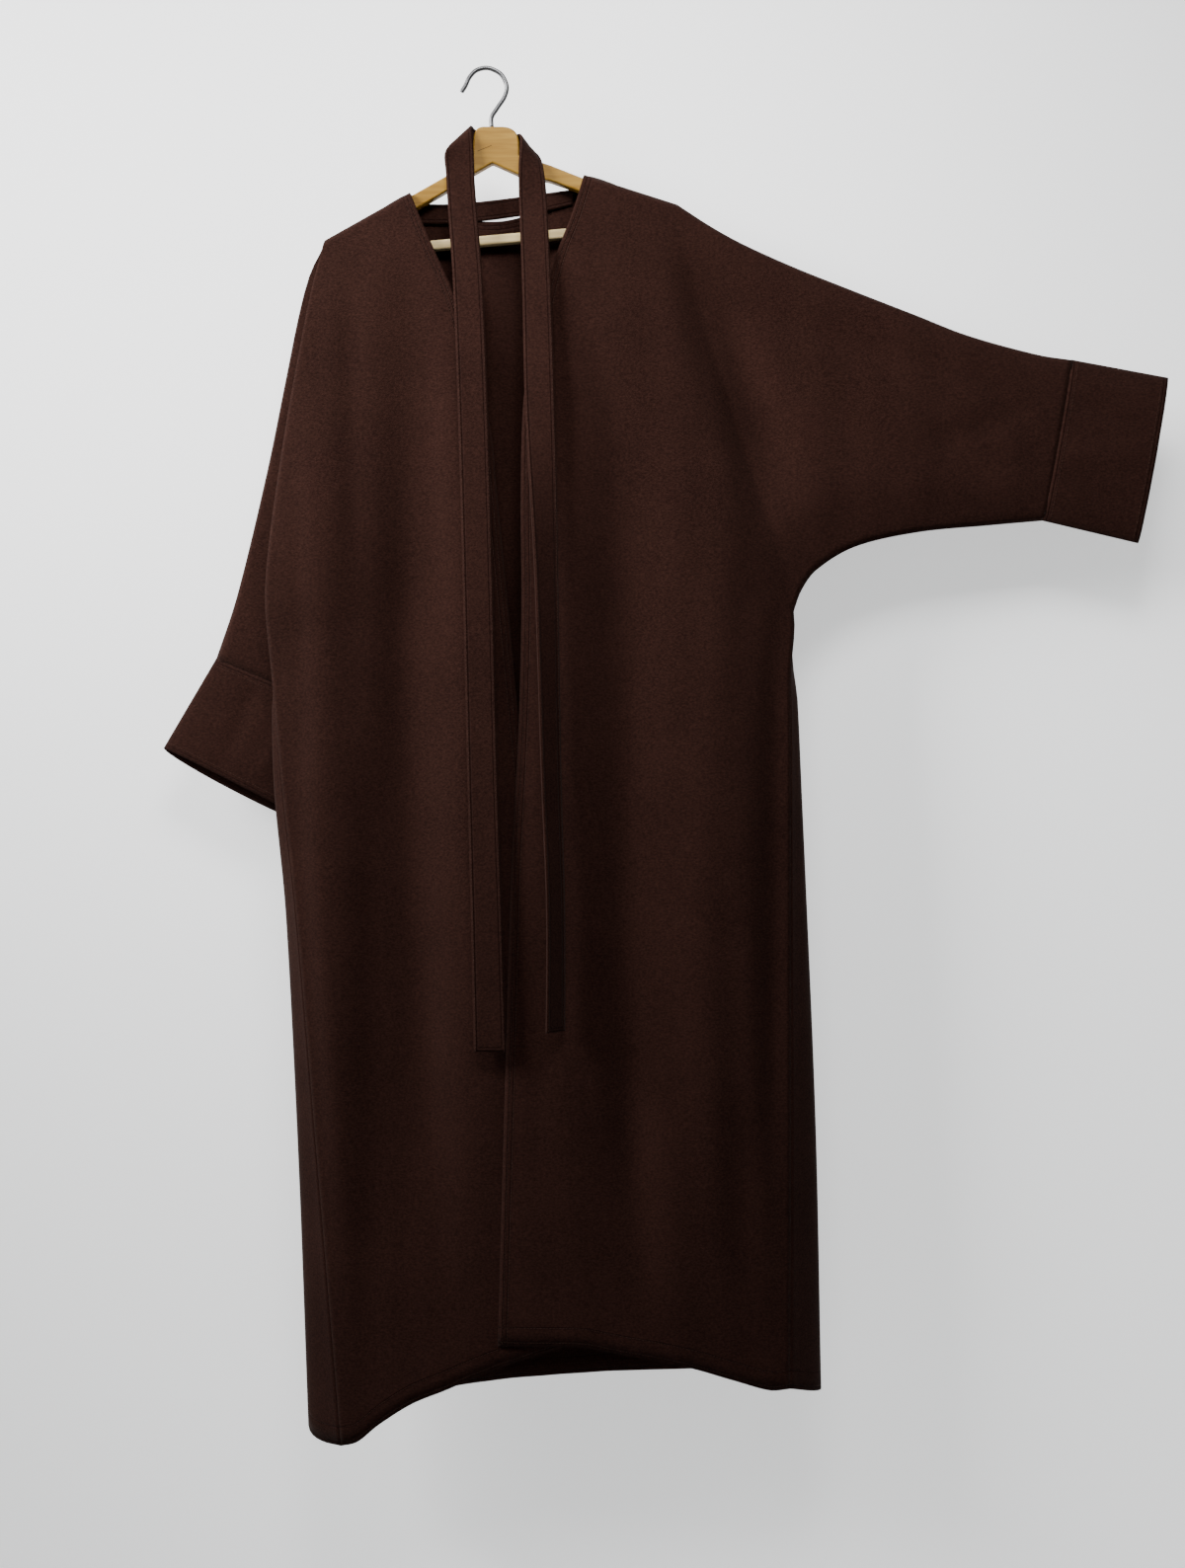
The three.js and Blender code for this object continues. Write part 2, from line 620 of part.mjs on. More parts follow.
const neckStripPath = [
  { at: 0, x: -80, y: 8.5, z: -160, wide: 22, turn: 88, lean: 0 },
  { at: 0.25, x: -36, y: 8.6, z: -160, wide: 22, turn: 86, lean: 0 },
  { at: 0.5, x: 14, y: 8.6, z: -155, wide: 22, turn: 84, lean: 0 },
  { at: 0.75, x: 62, y: 8.6, z: -148, wide: 21, turn: 82, lean: 0 },
  { at: 1, x: 100, y: 8.6, z: -141, wide: 18, turn: 78, lean: 0 },
];

// A solid bar of rounded section between two ends, both thick along Y.
function bar(from, to, high, deep, round) {
  const shape = new THREE.Shape();
  const a = high / 2;
  const b = deep / 2;
  shape.moveTo(-a + round, -b);
  shape.lineTo(a - round, -b);
  shape.quadraticCurveTo(a, -b, a, -b + round);
  shape.lineTo(a, b - round);
  shape.quadraticCurveTo(a, b, a - round, b);
  shape.lineTo(-a + round, b);
  shape.quadraticCurveTo(-a, b, -a, b - round);
  shape.lineTo(-a, -b + round);
  shape.quadraticCurveTo(-a, -b, -a + round, -b);
  const length = from.distanceTo(to);
  const geometry = new THREE.ExtrudeGeometry(shape, { depth: length, bevelEnabled: false, curveSegments: 3 });
  const forward = to.clone().sub(from).normalize();
  const side = new THREE.Vector3(0, 1, 0);
  const up = forward.clone().cross(side).negate();
  geometry.applyMatrix4(new THREE.Matrix4().makeBasis(up, side, up.clone().cross(side)));
  geometry.translate(from.x, from.y, from.z);
  return geometry;
}

// The hanger's body: a rounded block with a notch under it, and two sloping arms.
function hangerBody() {
  const shape = new THREE.Shape();
  shape.moveTo(-12, -119);
  shape.lineTo(-40, -137);
  shape.lineTo(-100, -172);
  shape.lineTo(-160, -206);
  shape.quadraticCurveTo(-170, -208, -169, -198);
  shape.lineTo(-164, -189.5);
  shape.lineTo(-84, -144.5);
  shape.lineTo(-40, -119.5);
  shape.lineTo(-14, -103);
  shape.quadraticCurveTo(-15, -66, 8, -66);
  shape.quadraticCurveTo(38, -66, 39, -98);
  shape.lineTo(73, -109);
  shape.lineTo(112, -124.5);
  shape.lineTo(196, -151.5);
  shape.quadraticCurveTo(206, -154, 203, -162);
  shape.quadraticCurveTo(200, -168, 192, -166);
  shape.lineTo(105, -138);
  shape.lineTo(73, -127);
  shape.lineTo(38, -120);
  shape.lineTo(9, -107);
  shape.closePath();
  const geometry = new THREE.ExtrudeGeometry(shape, {
    depth: WOOD_DEEP - 4, bevelEnabled: true, bevelSize: 2, bevelThickness: 2, bevelOffset: -2,
    bevelSegments: 3, curveSegments: 8,
  });
  geometry.rotateX(Math.PI / 2);
  geometry.translate(0, WOOD_DEEP / 2 - 2, 0);
  return geometry;
}

// The hook's wire, from its foot in the block up and round to its free end.
function hook() {
  const path = new THREE.CatmullRomCurve3([
    [7.5, -65.4], [7.5, -54], [14.5, -42.5], [22, -31], [24.5, -19], [19, -6.5], [9.5, -0.2],
    [0.5, 1.7], [-10, -1.2], [-17.5, -9], [-22, -18.5], [-26.5, -25.5],
  ].map(([x, z]) => new THREE.Vector3(x, 0, z)));
  const section = new THREE.Shape();
  section.absarc(0, 0, WIRE / 2, 0, 2 * Math.PI);
  return new THREE.ExtrudeGeometry(section, {
    extrudePath: path, steps: 60, curveSegments: 6, bevelEnabled: false,
  });
}

const cloth = 0x33211c;
const wood = 0xc8a05a;
const nodes = [
  ["left_front", leftFront(), cloth],
  ["right_front", rightFront(), cloth],
  ["back", back(), cloth],
  ["left_cuff", cuff(leftCuff), cloth],
  ["right_cuff", cuff(rightCuff), cloth],
  ["neck_strip", band(smooth(neckStripPath, 16), 2).wall(BAND), cloth],
  ["belt", band(smooth(beltPath, 110), 4).wall(BAND), cloth],
  ["hanger_body", hangerBody(), wood],
  ["hanger_bar", bar(new THREE.Vector3(-150, 0, -207), new THREE.Vector3(184, 0, -177),
    BAR_THICK, 10, 4), 0xe6d8b8],
  ["hook", hook(), 0xb8b8b8],
];

const coat = new THREE.Group();
coat.name = "coat_on_hanger";
for (const [name, geometry, color] of nodes) {
  const mesh = new THREE.Mesh(geometry, new THREE.MeshStandardMaterial({ color }));
  mesh.name = name;
  coat.add(mesh);
}

export default coat;
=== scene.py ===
import bpy
import bmesh
import math
import numpy as np
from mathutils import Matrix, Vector


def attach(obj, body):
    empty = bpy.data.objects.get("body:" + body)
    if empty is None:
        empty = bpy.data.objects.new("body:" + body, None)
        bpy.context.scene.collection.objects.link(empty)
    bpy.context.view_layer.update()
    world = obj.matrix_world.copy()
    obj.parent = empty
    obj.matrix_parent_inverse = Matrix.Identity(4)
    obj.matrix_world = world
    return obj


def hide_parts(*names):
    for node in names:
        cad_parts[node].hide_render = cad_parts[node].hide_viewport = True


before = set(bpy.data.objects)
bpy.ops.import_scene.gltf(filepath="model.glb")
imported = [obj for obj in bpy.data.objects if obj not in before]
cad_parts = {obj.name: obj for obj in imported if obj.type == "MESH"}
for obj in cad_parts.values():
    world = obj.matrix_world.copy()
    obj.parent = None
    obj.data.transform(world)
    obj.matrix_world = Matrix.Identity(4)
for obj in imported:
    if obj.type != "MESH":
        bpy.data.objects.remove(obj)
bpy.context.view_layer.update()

# Hanger body: one flat board of golden wood, two arms and a block with a notch under it.
# It is sawn out, rounded on every edge and lacquered, and a glued joint crosses the block.
# The coat hangs on the arms and the belt lies round the block.

MM = 0.001
BODY_DEEP = 12
BODY_ROUNDING = 2.2
GLUE_DEEP = 12.08
GLUE_ROUNDING = 0.01
GOLDEN_LIGHT = (0.262, 0.146, 0.021, 1)
GOLDEN_DARK = (0.184, 0.09, 0.009, 1)
GLUE_LIGHT = (0.06, 0.03, 0.008, 1)
GLUE_DARK = (0.04, 0.02, 0.005, 1)


def wire_up(tree, node, values):
    """Set a node's inputs to plain values, or link them to other nodes' outputs."""
    for key, value in values.items():
        if isinstance(value, bpy.types.NodeSocket):
            tree.links.new(value, node.inputs[key])
        else:
            node.inputs[key].default_value = value
    return node


def add_node(tree, kind, values=None, **settings):
    node = tree.nodes.new(kind)
    for key, value in settings.items():
        setattr(node, key, value)
    return wire_up(tree, node, values or {})


def new_group(name, takes, gives):
    """An empty shader node group with its named inputs and outputs."""
    group = bpy.data.node_groups.new(name, "ShaderNodeTree")
    for way, sockets in (("INPUT", takes), ("OUTPUT", gives)):
        for label, kind in sockets:
            group.interface.new_socket(label, in_out=way, socket_type=kind)
    return group, group.nodes.new("NodeGroupInput").outputs, group.nodes.new("NodeGroupOutput")


def new_material(name):
    material = bpy.data.materials.new(name)
    material.use_nodes = True
    tree = material.node_tree
    return material, tree, tree.nodes["Principled BSDF"]


def grain_group():
    """Long wood grain along X with fine pores."""
    group, given, out = new_group(
        "Wood grain",
        [("Vector", "NodeSocketVector"), ("Light", "NodeSocketColor"), ("Dark", "NodeSocketColor")],
        [("Color", "NodeSocketColor"), ("Height", "NodeSocketFloat")])
    along = add_node(group, "ShaderNodeMapping", {"Vector": given["Vector"], "Scale": (0.055, 1, 1)})
    bands = add_node(group, "ShaderNodeTexNoise", {
        "Vector": along.outputs["Vector"], "Scale": 210, "Detail": 5, "Distortion": 0.4})
    pores = add_node(group, "ShaderNodeTexNoise", {
        "Vector": along.outputs["Vector"], "Scale": 1300, "Detail": 2})
    band_tone = add_node(group, "ShaderNodeMapRange", {
        "Value": bands.outputs["Fac"], "From Min": 0.34, "From Max": 0.66})
    pore_tone = add_node(group, "ShaderNodeMath", {0: pores.outputs["Fac"], 1: 0.35, 2: -0.17},
                         operation="MULTIPLY_ADD")
    tone = add_node(group, "ShaderNodeMath", {0: band_tone.outputs["Result"], 1: pore_tone.outputs[0]},
                    operation="ADD", use_clamp=True)
    blend = add_node(group, "ShaderNodeMix", {
        "Factor": tone.outputs[0], "A": given["Dark"], "B": given["Light"]}, data_type="RGBA")
    wire_up(group, out, {"Color": blend.outputs["Result"], "Height": pores.outputs["Fac"]})
    return group


GRAIN = grain_group()


def wood(name, light, dark, rough, lacquer):
    """Grained wood with open pores, under a thin coat of lacquer."""
    material, tree, shader = new_material(name)
    where = add_node(tree, "ShaderNodeTexCoord")
    grain = add_node(tree, "ShaderNodeGroup", {
        "Vector": where.outputs["Object"], "Light": light, "Dark": dark}, node_tree=GRAIN)
    relief = add_node(tree, "ShaderNodeBump", {
        "Height": grain.outputs["Height"], "Strength": 0.1, "Distance": 0.0003})
    wire_up(tree, shader, {
        "Base Color": grain.outputs["Color"], "Normal": relief.outputs["Normal"], "Roughness": rough,
        "Coat Weight": lacquer, "Coat Roughness": 0.2, "Specular IOR Level": 0.15})
    return material


def new_piece(name, mesh, material):
    """A smooth piece in the scene, from one mesh and one material."""
    for face in mesh.polygons:
        face.use_smooth = True
    piece = bpy.data.objects.new(name, mesh)
    bpy.context.scene.collection.objects.link(piece)
    piece.data.materials.append(material)
    return piece


def board(name, outline, deep, rounding, material, segments=4):
    """A board of the given outline in X and Z, rounded on every edge."""
    corners = [(x * MM, -deep * MM / 2, z * MM) for x, z in outline]
    mesh = bpy.data.meshes.new(name)
    mesh.from_pydata(corners, [], [tuple(range(len(corners)))])
    shape = bmesh.new()
    shape.from_mesh(mesh)
    grown = bmesh.ops.extrude_face_region(shape, geom=shape.faces[:])
    moved = [v for v in grown["geom"] if isinstance(v, bmesh.types.BMVert)]
    bmesh.ops.translate(shape, verts=moved, vec=(0, deep * MM, 0))
    bmesh.ops.recalc_face_normals(shape, faces=shape.faces[:])
    shape.to_mesh(mesh)
    shape.free()
    piece = new_piece(name, mesh, material)
    edge = piece.modifiers.new("rounding", "BEVEL")
    edge.width = rounding * MM
    edge.segments = segments
    edge.limit_method = "ANGLE"
    edge.angle_limit = math.radians(50)
    smooth = piece.modifiers.new("normals", "WEIGHTED_NORMAL")
    smooth.keep_sharp = False
    return piece


def bend(a, b, c, steps=8):
    """Places along a quadratic curve, without its first one."""
    return [((1 - t) ** 2 * a[0] + 2 * t * (1 - t) * b[0] + t * t * c[0],
             (1 - t) ** 2 * a[1] + 2 * t * (1 - t) * b[1] + t * t * c[1])
            for t in (i / steps for i in range(1, steps + 1))]


# The outline in X and Z: from the notch under the left arm, round its tip and back over it,
# over the block, out over the right arm, round its tip and back under it.
body_outline = [(-12, -119), (-40, -137), (-100, -172), (-160, -206)]
body_outline += bend((-160, -206), (-170, -208), (-169, -198))
body_outline += [(-164, -189.5), (-84, -144.5), (-40, -119.5), (-14, -103), (-12.6, -78)]
body_outline += bend((-12.6, -78), (-11.8, -66), (-1, -65.8), 10) + [(20, -65.9)]
body_outline += bend((20, -65.9), (37.4, -66.4), (38.6, -84), 14) + [(39, -98)]
body_outline += [(73, -109), (112, -124.5), (196, -151.5)]
body_outline += bend((196, -151.5), (206, -154), (203, -162))
body_outline += bend((203, -162), (200, -168), (192, -166))
body_outline += [(105, -138), (73, -127), (38, -120), (9, -107)]
golden = wood("lacquered wood", GOLDEN_LIGHT, GOLDEN_DARK, rough=0.45, lacquer=0.03)
hanger_body = board("hanger_body_wood", body_outline, BODY_DEEP, BODY_ROUNDING, golden)
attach(hanger_body, "root")
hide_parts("hanger_body")

glue = wood("glue line", GLUE_LIGHT, GLUE_DARK, rough=0.8, lacquer=0)
glue_outline = [(-8, -94.3), (8, -87.6), (8, -87), (-8, -93.6)]
glue_line = board("hanger_glue_line", glue_outline, GLUE_DEEP, GLUE_ROUNDING, glue, 1)
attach(glue_line, "root")

# Hanger bar: a flat rail of pale bare wood under the arms, sanded round on its edges.
# Its ends are glued into the tips of the two arms.

BAR_FROM = (-150, -207)
BAR_TO = (184, -177)
BAR_HIGH = 11.5
BAR_DEEP = 10
BAR_ROUNDING = 3.2
BAR_LIGHT = (0.64, 0.5, 0.27, 1)
BAR_DARK = (0.5, 0.375, 0.18, 1)

bar_long = math.hypot(BAR_TO[0] - BAR_FROM[0], BAR_TO[1] - BAR_FROM[1])
lean_x = (BAR_TO[1] - BAR_FROM[1]) / bar_long * BAR_HIGH / 2
lean_z = (BAR_TO[0] - BAR_FROM[0]) / bar_long * BAR_HIGH / 2
bar_outline = [(x + lean_x, z - lean_z) for x, z in (BAR_FROM, BAR_TO)]
bar_outline += [(x - lean_x, z + lean_z) for x, z in (BAR_TO, BAR_FROM)]
pale = wood("bar wood", BAR_LIGHT, BAR_DARK, rough=0.6, lacquer=0.02)
hanger_bar = board("hanger_bar_wood", bar_outline, BAR_DEEP, BAR_ROUNDING, pale)
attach(hanger_bar, "root")
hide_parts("hanger_bar")

# Hanger hook: one length of plated steel wire, cut square at its free end.
# It is bent round to hang on a rail, and its straight foot is driven into the block.

WIRE_RADIUS = 2.55
WIRE_COLOR = (0.11, 0.11, 0.113, 1)
HOOK_LINE = [
    (7.5, -65.4), (7.5, -54), (14.5, -42.5), (22, -31), (24.5, -19), (19, -6.5), (9.5, -0.2),
    (0.5, 1.7), (-10, -1.2), (-17.5, -9), (-22, -18.5), (-26.5, -25.5)]


def round_curve(places, steps):
    """A smooth curve through every place, in X and Z."""
    p = [np.array(q, float) for q in places]
    p = [2 * p[0] - p[1]] + p + [2 * p[-1] - p[-2]]
    line = []
    for i in range(1, len(p) - 2):
        for t in (j / steps for j in range(steps)):
            line.append(0.5 * (2 * p[i] + (p[i + 1] - p[i - 1]) * t
                               + (2 * p[i - 1] - 5 * p[i] + 4 * p[i + 1] - p[i + 2]) * t * t
                               + (3 * p[i] - p[i - 1] - 3 * p[i + 1] + p[i + 2]) * t ** 3))
    return line + [p[-2]]


def wire_rod(name, line, radius, material, around=20):
    """A round wire along a line, eased down in size at both ends."""
    line = [np.array([x, 0, z]) for x, z in line]
    last = len(line) - 1
    across = np.array([0, 1, 0])
    verts, faces = [], []
    for i, middle in enumerate(line):
        along = line[min(i + 1, last)] - line[max(i - 1, 0)]
        along /= np.linalg.norm(along)
        up = np.cross(along, across)
        size = radius * (0.72 if i in (0, last) else 1)
        for j in range(around):
            angle = 2 * math.pi * j / around
            spoke = math.cos(angle) * across + math.sin(angle) * up
            verts.append(((middle + size * spoke) * MM).tolist())
    for i in range(last):
        for j in range(around):
            k = (j + 1) % around
            faces.append((i * around + j, i * around + k, (i + 1) * around + k, (i + 1) * around + j))
    faces.append(tuple(range(around)))
    faces.append(tuple(last * around + j for j in range(around))[::-1])
    mesh = bpy.data.meshes.new(name)
    mesh.from_pydata(verts, [], faces)
    piece = new_piece(name, mesh, material)
    for cap in mesh.polygons[-2:]:
        cap.use_smooth = False
    return piece


wire, wire_tree, wire_shader = new_material("hook wire")
wire_up(wire_tree, wire_shader, {"Base Color": WIRE_COLOR, "Metallic": 1, "Roughness": 0.4})
hook = wire_rod("hook_wire_rod", round_curve(HOOK_LINE, 12), WIRE_RADIUS, wire)
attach(hook, "root")
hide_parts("hook")

# Right front: the wearer's right front, cut in one with the front half of the hanging sleeve.
# Dark brown crepe, finely pebbled and matt, with its edge and hem turned under and topstitched.
# Its sleeve folds back behind the body's outer fold and comes out again beside it.

CLOTH = 1.6
LAP = 0.78
ARMPIT = 0.4
FRONT_COLUMNS = 64
ARM_STAND_OFF = 10.4
ARM_TURN = 5
ARM_FALL = 150
FRONT_SWELL = 9
HUNG_SWELL = 4
FRONT = (0, -1, 0)
STITCH_LONG = 2.6
STITCH_GAP = 0.9
STITCH_WIDE = 0.42
STITCH_RISE = 0.34
THREAD_HIGH = 0.12
CREPE_LIGHT = (0.0238, 0.0088, 0.006, 1)
CREPE_DARK = (0.0084, 0.0024, 0.0015, 1)
THREAD_LIGHT = (0.05, 0.027, 0.021, 1)
THREAD_DARK = (0.03, 0.014, 0.01, 1)
# A pressed line, darkened with painted shade: what it is measured from, how far in it lies, and half its
# width, in millimetres.
PRESSED_LINES = [("edge_mm", 5, 1.1), ("edge_mm", 9.5, 1.1), ("hem_mm", 4, 1.1), ("hem_mm", 20, 1.2)]

# Places are in millimetres. Each table's first column is the share of the way down a side,
# across a hem, or out along a sleeve's seam.
RIGHT_EDGE = {"columns": ["at", "x", "y", "z"], "rows": [
    (0, -84, -1, -140), (0.05, -60, -12, -198), (0.1, -33, -19, -259), (0.17, -11, -26, -338),
    (0.23, 7, -31, -405), (0.3, 15, -35, -482), (0.4, 26, -40, -592), (0.5, 39, -44, -728),
    (0.6, 53, -49, -865), (0.8, 79, -57, -1138), (1, 110, -65, -1411)]}
RIGHT_SIDE = {"columns": ["at", "x", "y", "z"], "rows": [
    (0, -178, 0, -193), (0.05, -191, -10, -252), (0.1, -201, -19, -310), (0.2, -220, -30, -427),
    (0.3, -236, -35, -545), (0.35, -240, -33, -603), (0.4, -236, -28, -662), (0.5, -223, -33, -804),
    (0.6, -206, -40, -947), (0.8, -180, -49, -1232), (1, -154, -58, -1518)]}
RIGHT_HEM = {"columns": ["at", "drop"], "rows": [
    (0, 0), (0.22, -6), (0.42, -9), (0.55, -8), (0.7, -7), (0.84, 2), (0.93, 12), (1, 10)]}
HUNG_TOP_LINE = {"columns": ["at", "x", "y", "z"], "rows": [
    (0, -178, 0, -193), (0.05, -190, 1, -215), (0.1, -199, 2, -237), (0.19, -210, 3, -280),
    (0.33, -224, 5, -347), (0.56, -247, 8, -456), (0.84, -281, 12, -592), (1, -305, 14, -664)]}
HUNG_UNDERARM = {"columns": ["at", "x", "y", "z"], "rows": [
    (0, -236, -17, -662), (0.25, -195, -13, -636), (0.5, -141, -6, -624), (0.8, -85, -1, -632),
    (1, -60, 3, -640)]}
HUNG_CROTCH = np.array([-60.0, 3, -640])
# A cuff's seam and end: the places of its top and bottom corners, and half its depth.
RIGHT_CUFF = {"seam": ((-305, 14, -664), (-140, 12, -734), 9),
              "end": ((-364, 15, -764), (-200, 13, -848), 12)}
# A fold: the X and Z of its two ends, its half width, and how far it pushes the cloth back.
RIGHT_FOLDS = [
    (-86, -250, -72, -1330, 38, 12), (-80, -720, -70, -1330, 40, 7), (-190, -300, -165, -1340, 32, -7),
    (-8, -420, 6, -1250, 26, -4),
    (-150, -240, -140, -560, 16, 2.6), (-60, -300, -50, -640, 15, 2.0), (-128, -720, -118, -1440, 20, 3.2),
    (30, -800, 44, -1300, 18, 2.0), (-205, -420, -196, -900, 13, 1.6), (-64, -980, -40, -1420, 18, 2.4)]
# Small ripples everywhere: depth, width, sway and how long the sway runs, and its start.
RIPPLES = [(0.6, 19, 1.7, 240, 0), (0.3, 8.5, 2.1, 170, 1)]

# Rows of cloth stand close together at the shoulder, where it turns over the hanger's arms.
TOP_ROWS = [0, 0.0015, 0.003, 0.006, 0.009, 0.015, 0.024, 0.036, 0.05]
TOP_ROWS += [0.05 + 0.01 * i for i in range(1, 35)] + [ARMPIT]
BODY_ROWS = TOP_ROWS + [ARMPIT + 0.6 * i / 54 for i in range(1, 55)]
ARM_ROWS = [v / ARMPIT for v in TOP_ROWS]


def mix(a, b, t):
    return a + (b - a) * t


def ease(t):
    """0 to 1 with a soft start and a soft end."""
    s = min(1.0, max(0.0, t))
    return s * s * (3 - 2 * s)


def read(table, column, at):
    """A named column of a table, read smoothly between its rows."""
    names, rows = table["columns"], table["rows"]
    k = names.index(column)
    last = len(rows) - 1
    i = 0
    while i < last - 1 and at > rows[i + 1][0]:
        i += 1

    def slope(j):
        a, b = rows[max(0, j - 1)], rows[min(last, j + 1)]
        return (b[k] - a[k]) / (b[0] - a[0])

    lo, hi = rows[i], rows[i + 1]
    step = hi[0] - lo[0]
    t = (at - lo[0]) / step
    return ((2 * t ** 3 - 3 * t ** 2 + 1) * lo[k] + (t ** 3 - 2 * t ** 2 + t) * step * slope(i)
            + (3 * t ** 2 - 2 * t ** 3) * hi[k] + (t ** 3 - t ** 2) * step * slope(i + 1))


def place(table, at):
    y = read(table, "y", at) if "y" in table["columns"] else 0.0
    return np.array([read(table, "x", at), y, read(table, "z", at)])


def fold_push(folds, x, z):
    """How far the soft folds and ripples push the cloth back; below 0 they bring it forward."""
    push = 0.0
    for deep, wide, sway, run, start in RIPPLES:
        push += deep * math.sin(x / wide + sway * math.sin(z / run + start))
    for x1, z1, x2, z2, wide, deep in folds:
        dx, dz = x2 - x1, z2 - z1
        length = math.hypot(dx, dz)
        along = ((x - x1) * dx + (z - z1) * dz) / (length * length)
        aside = ((x - x1) * dz - (z - z1) * dx) / length
        taper = ease((along + 0.15) / 0.4) * ease((1.15 - along) / 0.4)
        push += deep * taper * math.exp(-((aside / wide) ** 2))
    return push


def over_hanger(drop):
    """How far the cloth stands off the middle plane, this far below the hanger's arm."""
    below = max(0.0, drop)
    return ARM_STAND_OFF * min(1.0, math.sqrt(below / ARM_TURN)) * math.exp(-below / ARM_FALL)


def shoulder_right(x):
    """The height of the shoulder seam over the hanger's right arm."""
    return -140 + (53 / 94) * (x + 84)


def hung_shift(v, side):
    """How far a side edge on the hanging sleeve's side moves for the seam's lap."""
    closed = ease((v - ARMPIT) / 0.1)
    return np.array([side * mix(LAP * ease(v / 0.05), 0, closed), side * mix(LAP, 0, closed), 0])


def front_point(edge, side, hem, folds, shoulder, shift, u, v):
    """A place on a front: u from its free edge to its side, v from the shoulder to the hem."""
    p = mix(place(edge, v), place(side, v), u)
    p[2] -= read(hem, "drop", u) * v ** 5
    free = math.sin(math.pi * min(1, max(0, u))) ** 0.8
    p[1] -= FRONT_SWELL * free * ease(v / 0.3)
    inside = ease((1 - u) / 0.12) if v > ARMPIT else 1
    p[1] += fold_push(folds, p[0], p[2]) * inside * ease(v / 0.1)
    if v <= 0:
        p[1] = -LAP
        return p
    p[1] -= over_hanger(shoulder(p[0]) - p[2]) * (1 - ease((v - 0.3) / 0.1))
    return p + shift(v) * u


def right_point(u, v):
    return front_point(RIGHT_EDGE, RIGHT_SIDE, RIGHT_HEM, RIGHT_FOLDS, shoulder_right,
                       lambda t: hung_shift(t, -1), u, v)


def cuff_point(section, w, side):
    """A place on a flattened sleeve's end, w from its top corner to its bottom one."""
    top, bottom, deep = section
    p = mix(np.array(top, float), np.array(bottom, float), w)
    p[1] += side * (LAP + (deep - LAP) * 2 * math.sqrt(max(0.0, w * (1 - w))))
    return p


def hung_sleeve(start, side):
    """Half of the hanging sleeve: in behind the outer fold, then out again to its top line."""
    inward = [0, 0.01, 0.02, 0.035, 0.05, 0.075, 0.1, 0.15, 0.2, 0.3, 0.4, 0.5, 0.6, 0.7, 0.8,
              0.87, 0.92, 0.95, 0.975, 1]
    # The first stretch outward runs under the arm, to the cuff's lower corner.
    under = 4 / 14
    outward = [0, 0.012, 0.025, 0.045] + [i / 42 for i in range(3, 43)]
    tip = place(HUNG_TOP_LINE, 0)
    crotch = HUNG_CROTCH + np.array([-3 if side < 0 else 6, 0, 0])
    wrap = 0 if side < 0 else 4.5

    def cuff_at(b):
        if b >= under:
            return cuff_point(RIGHT_CUFF["seam"], 1 - (b - under) / (1 - under), side)
        t = b / under
        p = mix(crotch, np.array(RIGHT_CUFF["seam"][1], float), t)
        p[1] += side * (LAP + wrap * (1 - t)) * min(1, b / 0.025)
        return p

    ends = [cuff_at(b) for b in outward]
    rows = []
    for r, ridge in enumerate(start):
        share = ARM_ROWS[r]
        opened = min(1, TOP_ROWS[r] / 0.02)
        grow = ease((share - 0.05) / 0.3)
        outer = place(HUNG_TOP_LINE, share)
        outer[1] += side * LAP
        valley = mix(mix(ridge, outer, 0.35), mix(tip, crotch, share), grow)
        valley[0] += side * 3.4 * grow * (1 - share ** 4)
        row = []
        for a in inward:
            p = mix(ridge, valley, a)
            seam = place(HUNG_UNDERARM, a)
            plain = mix(place(HUNG_UNDERARM, 0), HUNG_CROTCH, a)
            p[0] += (seam[0] - plain[0]) * share ** 3
            p[2] += (seam[2] - plain[2]) * share ** 3
            middle = mix(-9, -1, a) if side < 0 else mix(-17, -8, a)
            spare = 1.6 * (1 - a) if side < 0 else wrap * ease(a / 0.9)
            nested = side * (LAP + spare) * (1 if a < 1 else 0)
            level = mix(middle * grow, seam[1] - nested, share ** 6)
            if a > 0:
                p[1] = mix(ridge[1], level, ease(a / (0.025 if side < 0 else 0.08)))
            row.append(p)
        for b, end in list(zip(outward, ends))[1:]:
            p = mix(valley, outer, b)
            plain = mix(crotch, ends[-1], b)
            p[0] += (end[0] - plain[0]) * share ** 2
            p[2] += (end[2] - plain[2]) * share ** 2
            apart = 4 if side < 0 else 15
            free = 2 * math.sqrt(b * (1 - b))
            level = mix(apart * grow, outer[1], ease(b)) + side * HUNG_SWELL * free * grow
            p[1] = mix(level, end[1], share ** 6)
            row.append(p)
        rows.append([mix(ridge, p, opened) for p in row])
    return rows


def reach(rows, side):
    """Distance of every place in a grid from one side of it, in millimetres."""
    rows = np.asarray(rows, float)
    axis = 1 if side in ("first column", "last column") else 0
    if side.startswith("last"):
        rows = np.flip(rows, axis)
    steps = np.linalg.norm(np.diff(rows, axis=axis), axis=2)
    start = np.zeros_like(rows[:, :1, 0] if axis else rows[:1, :, 0])
    out = np.concatenate([start, np.cumsum(steps, axis=axis)], axis=axis)
    return np.minimum(np.flip(out, axis) if side.startswith("last") else out, 60)


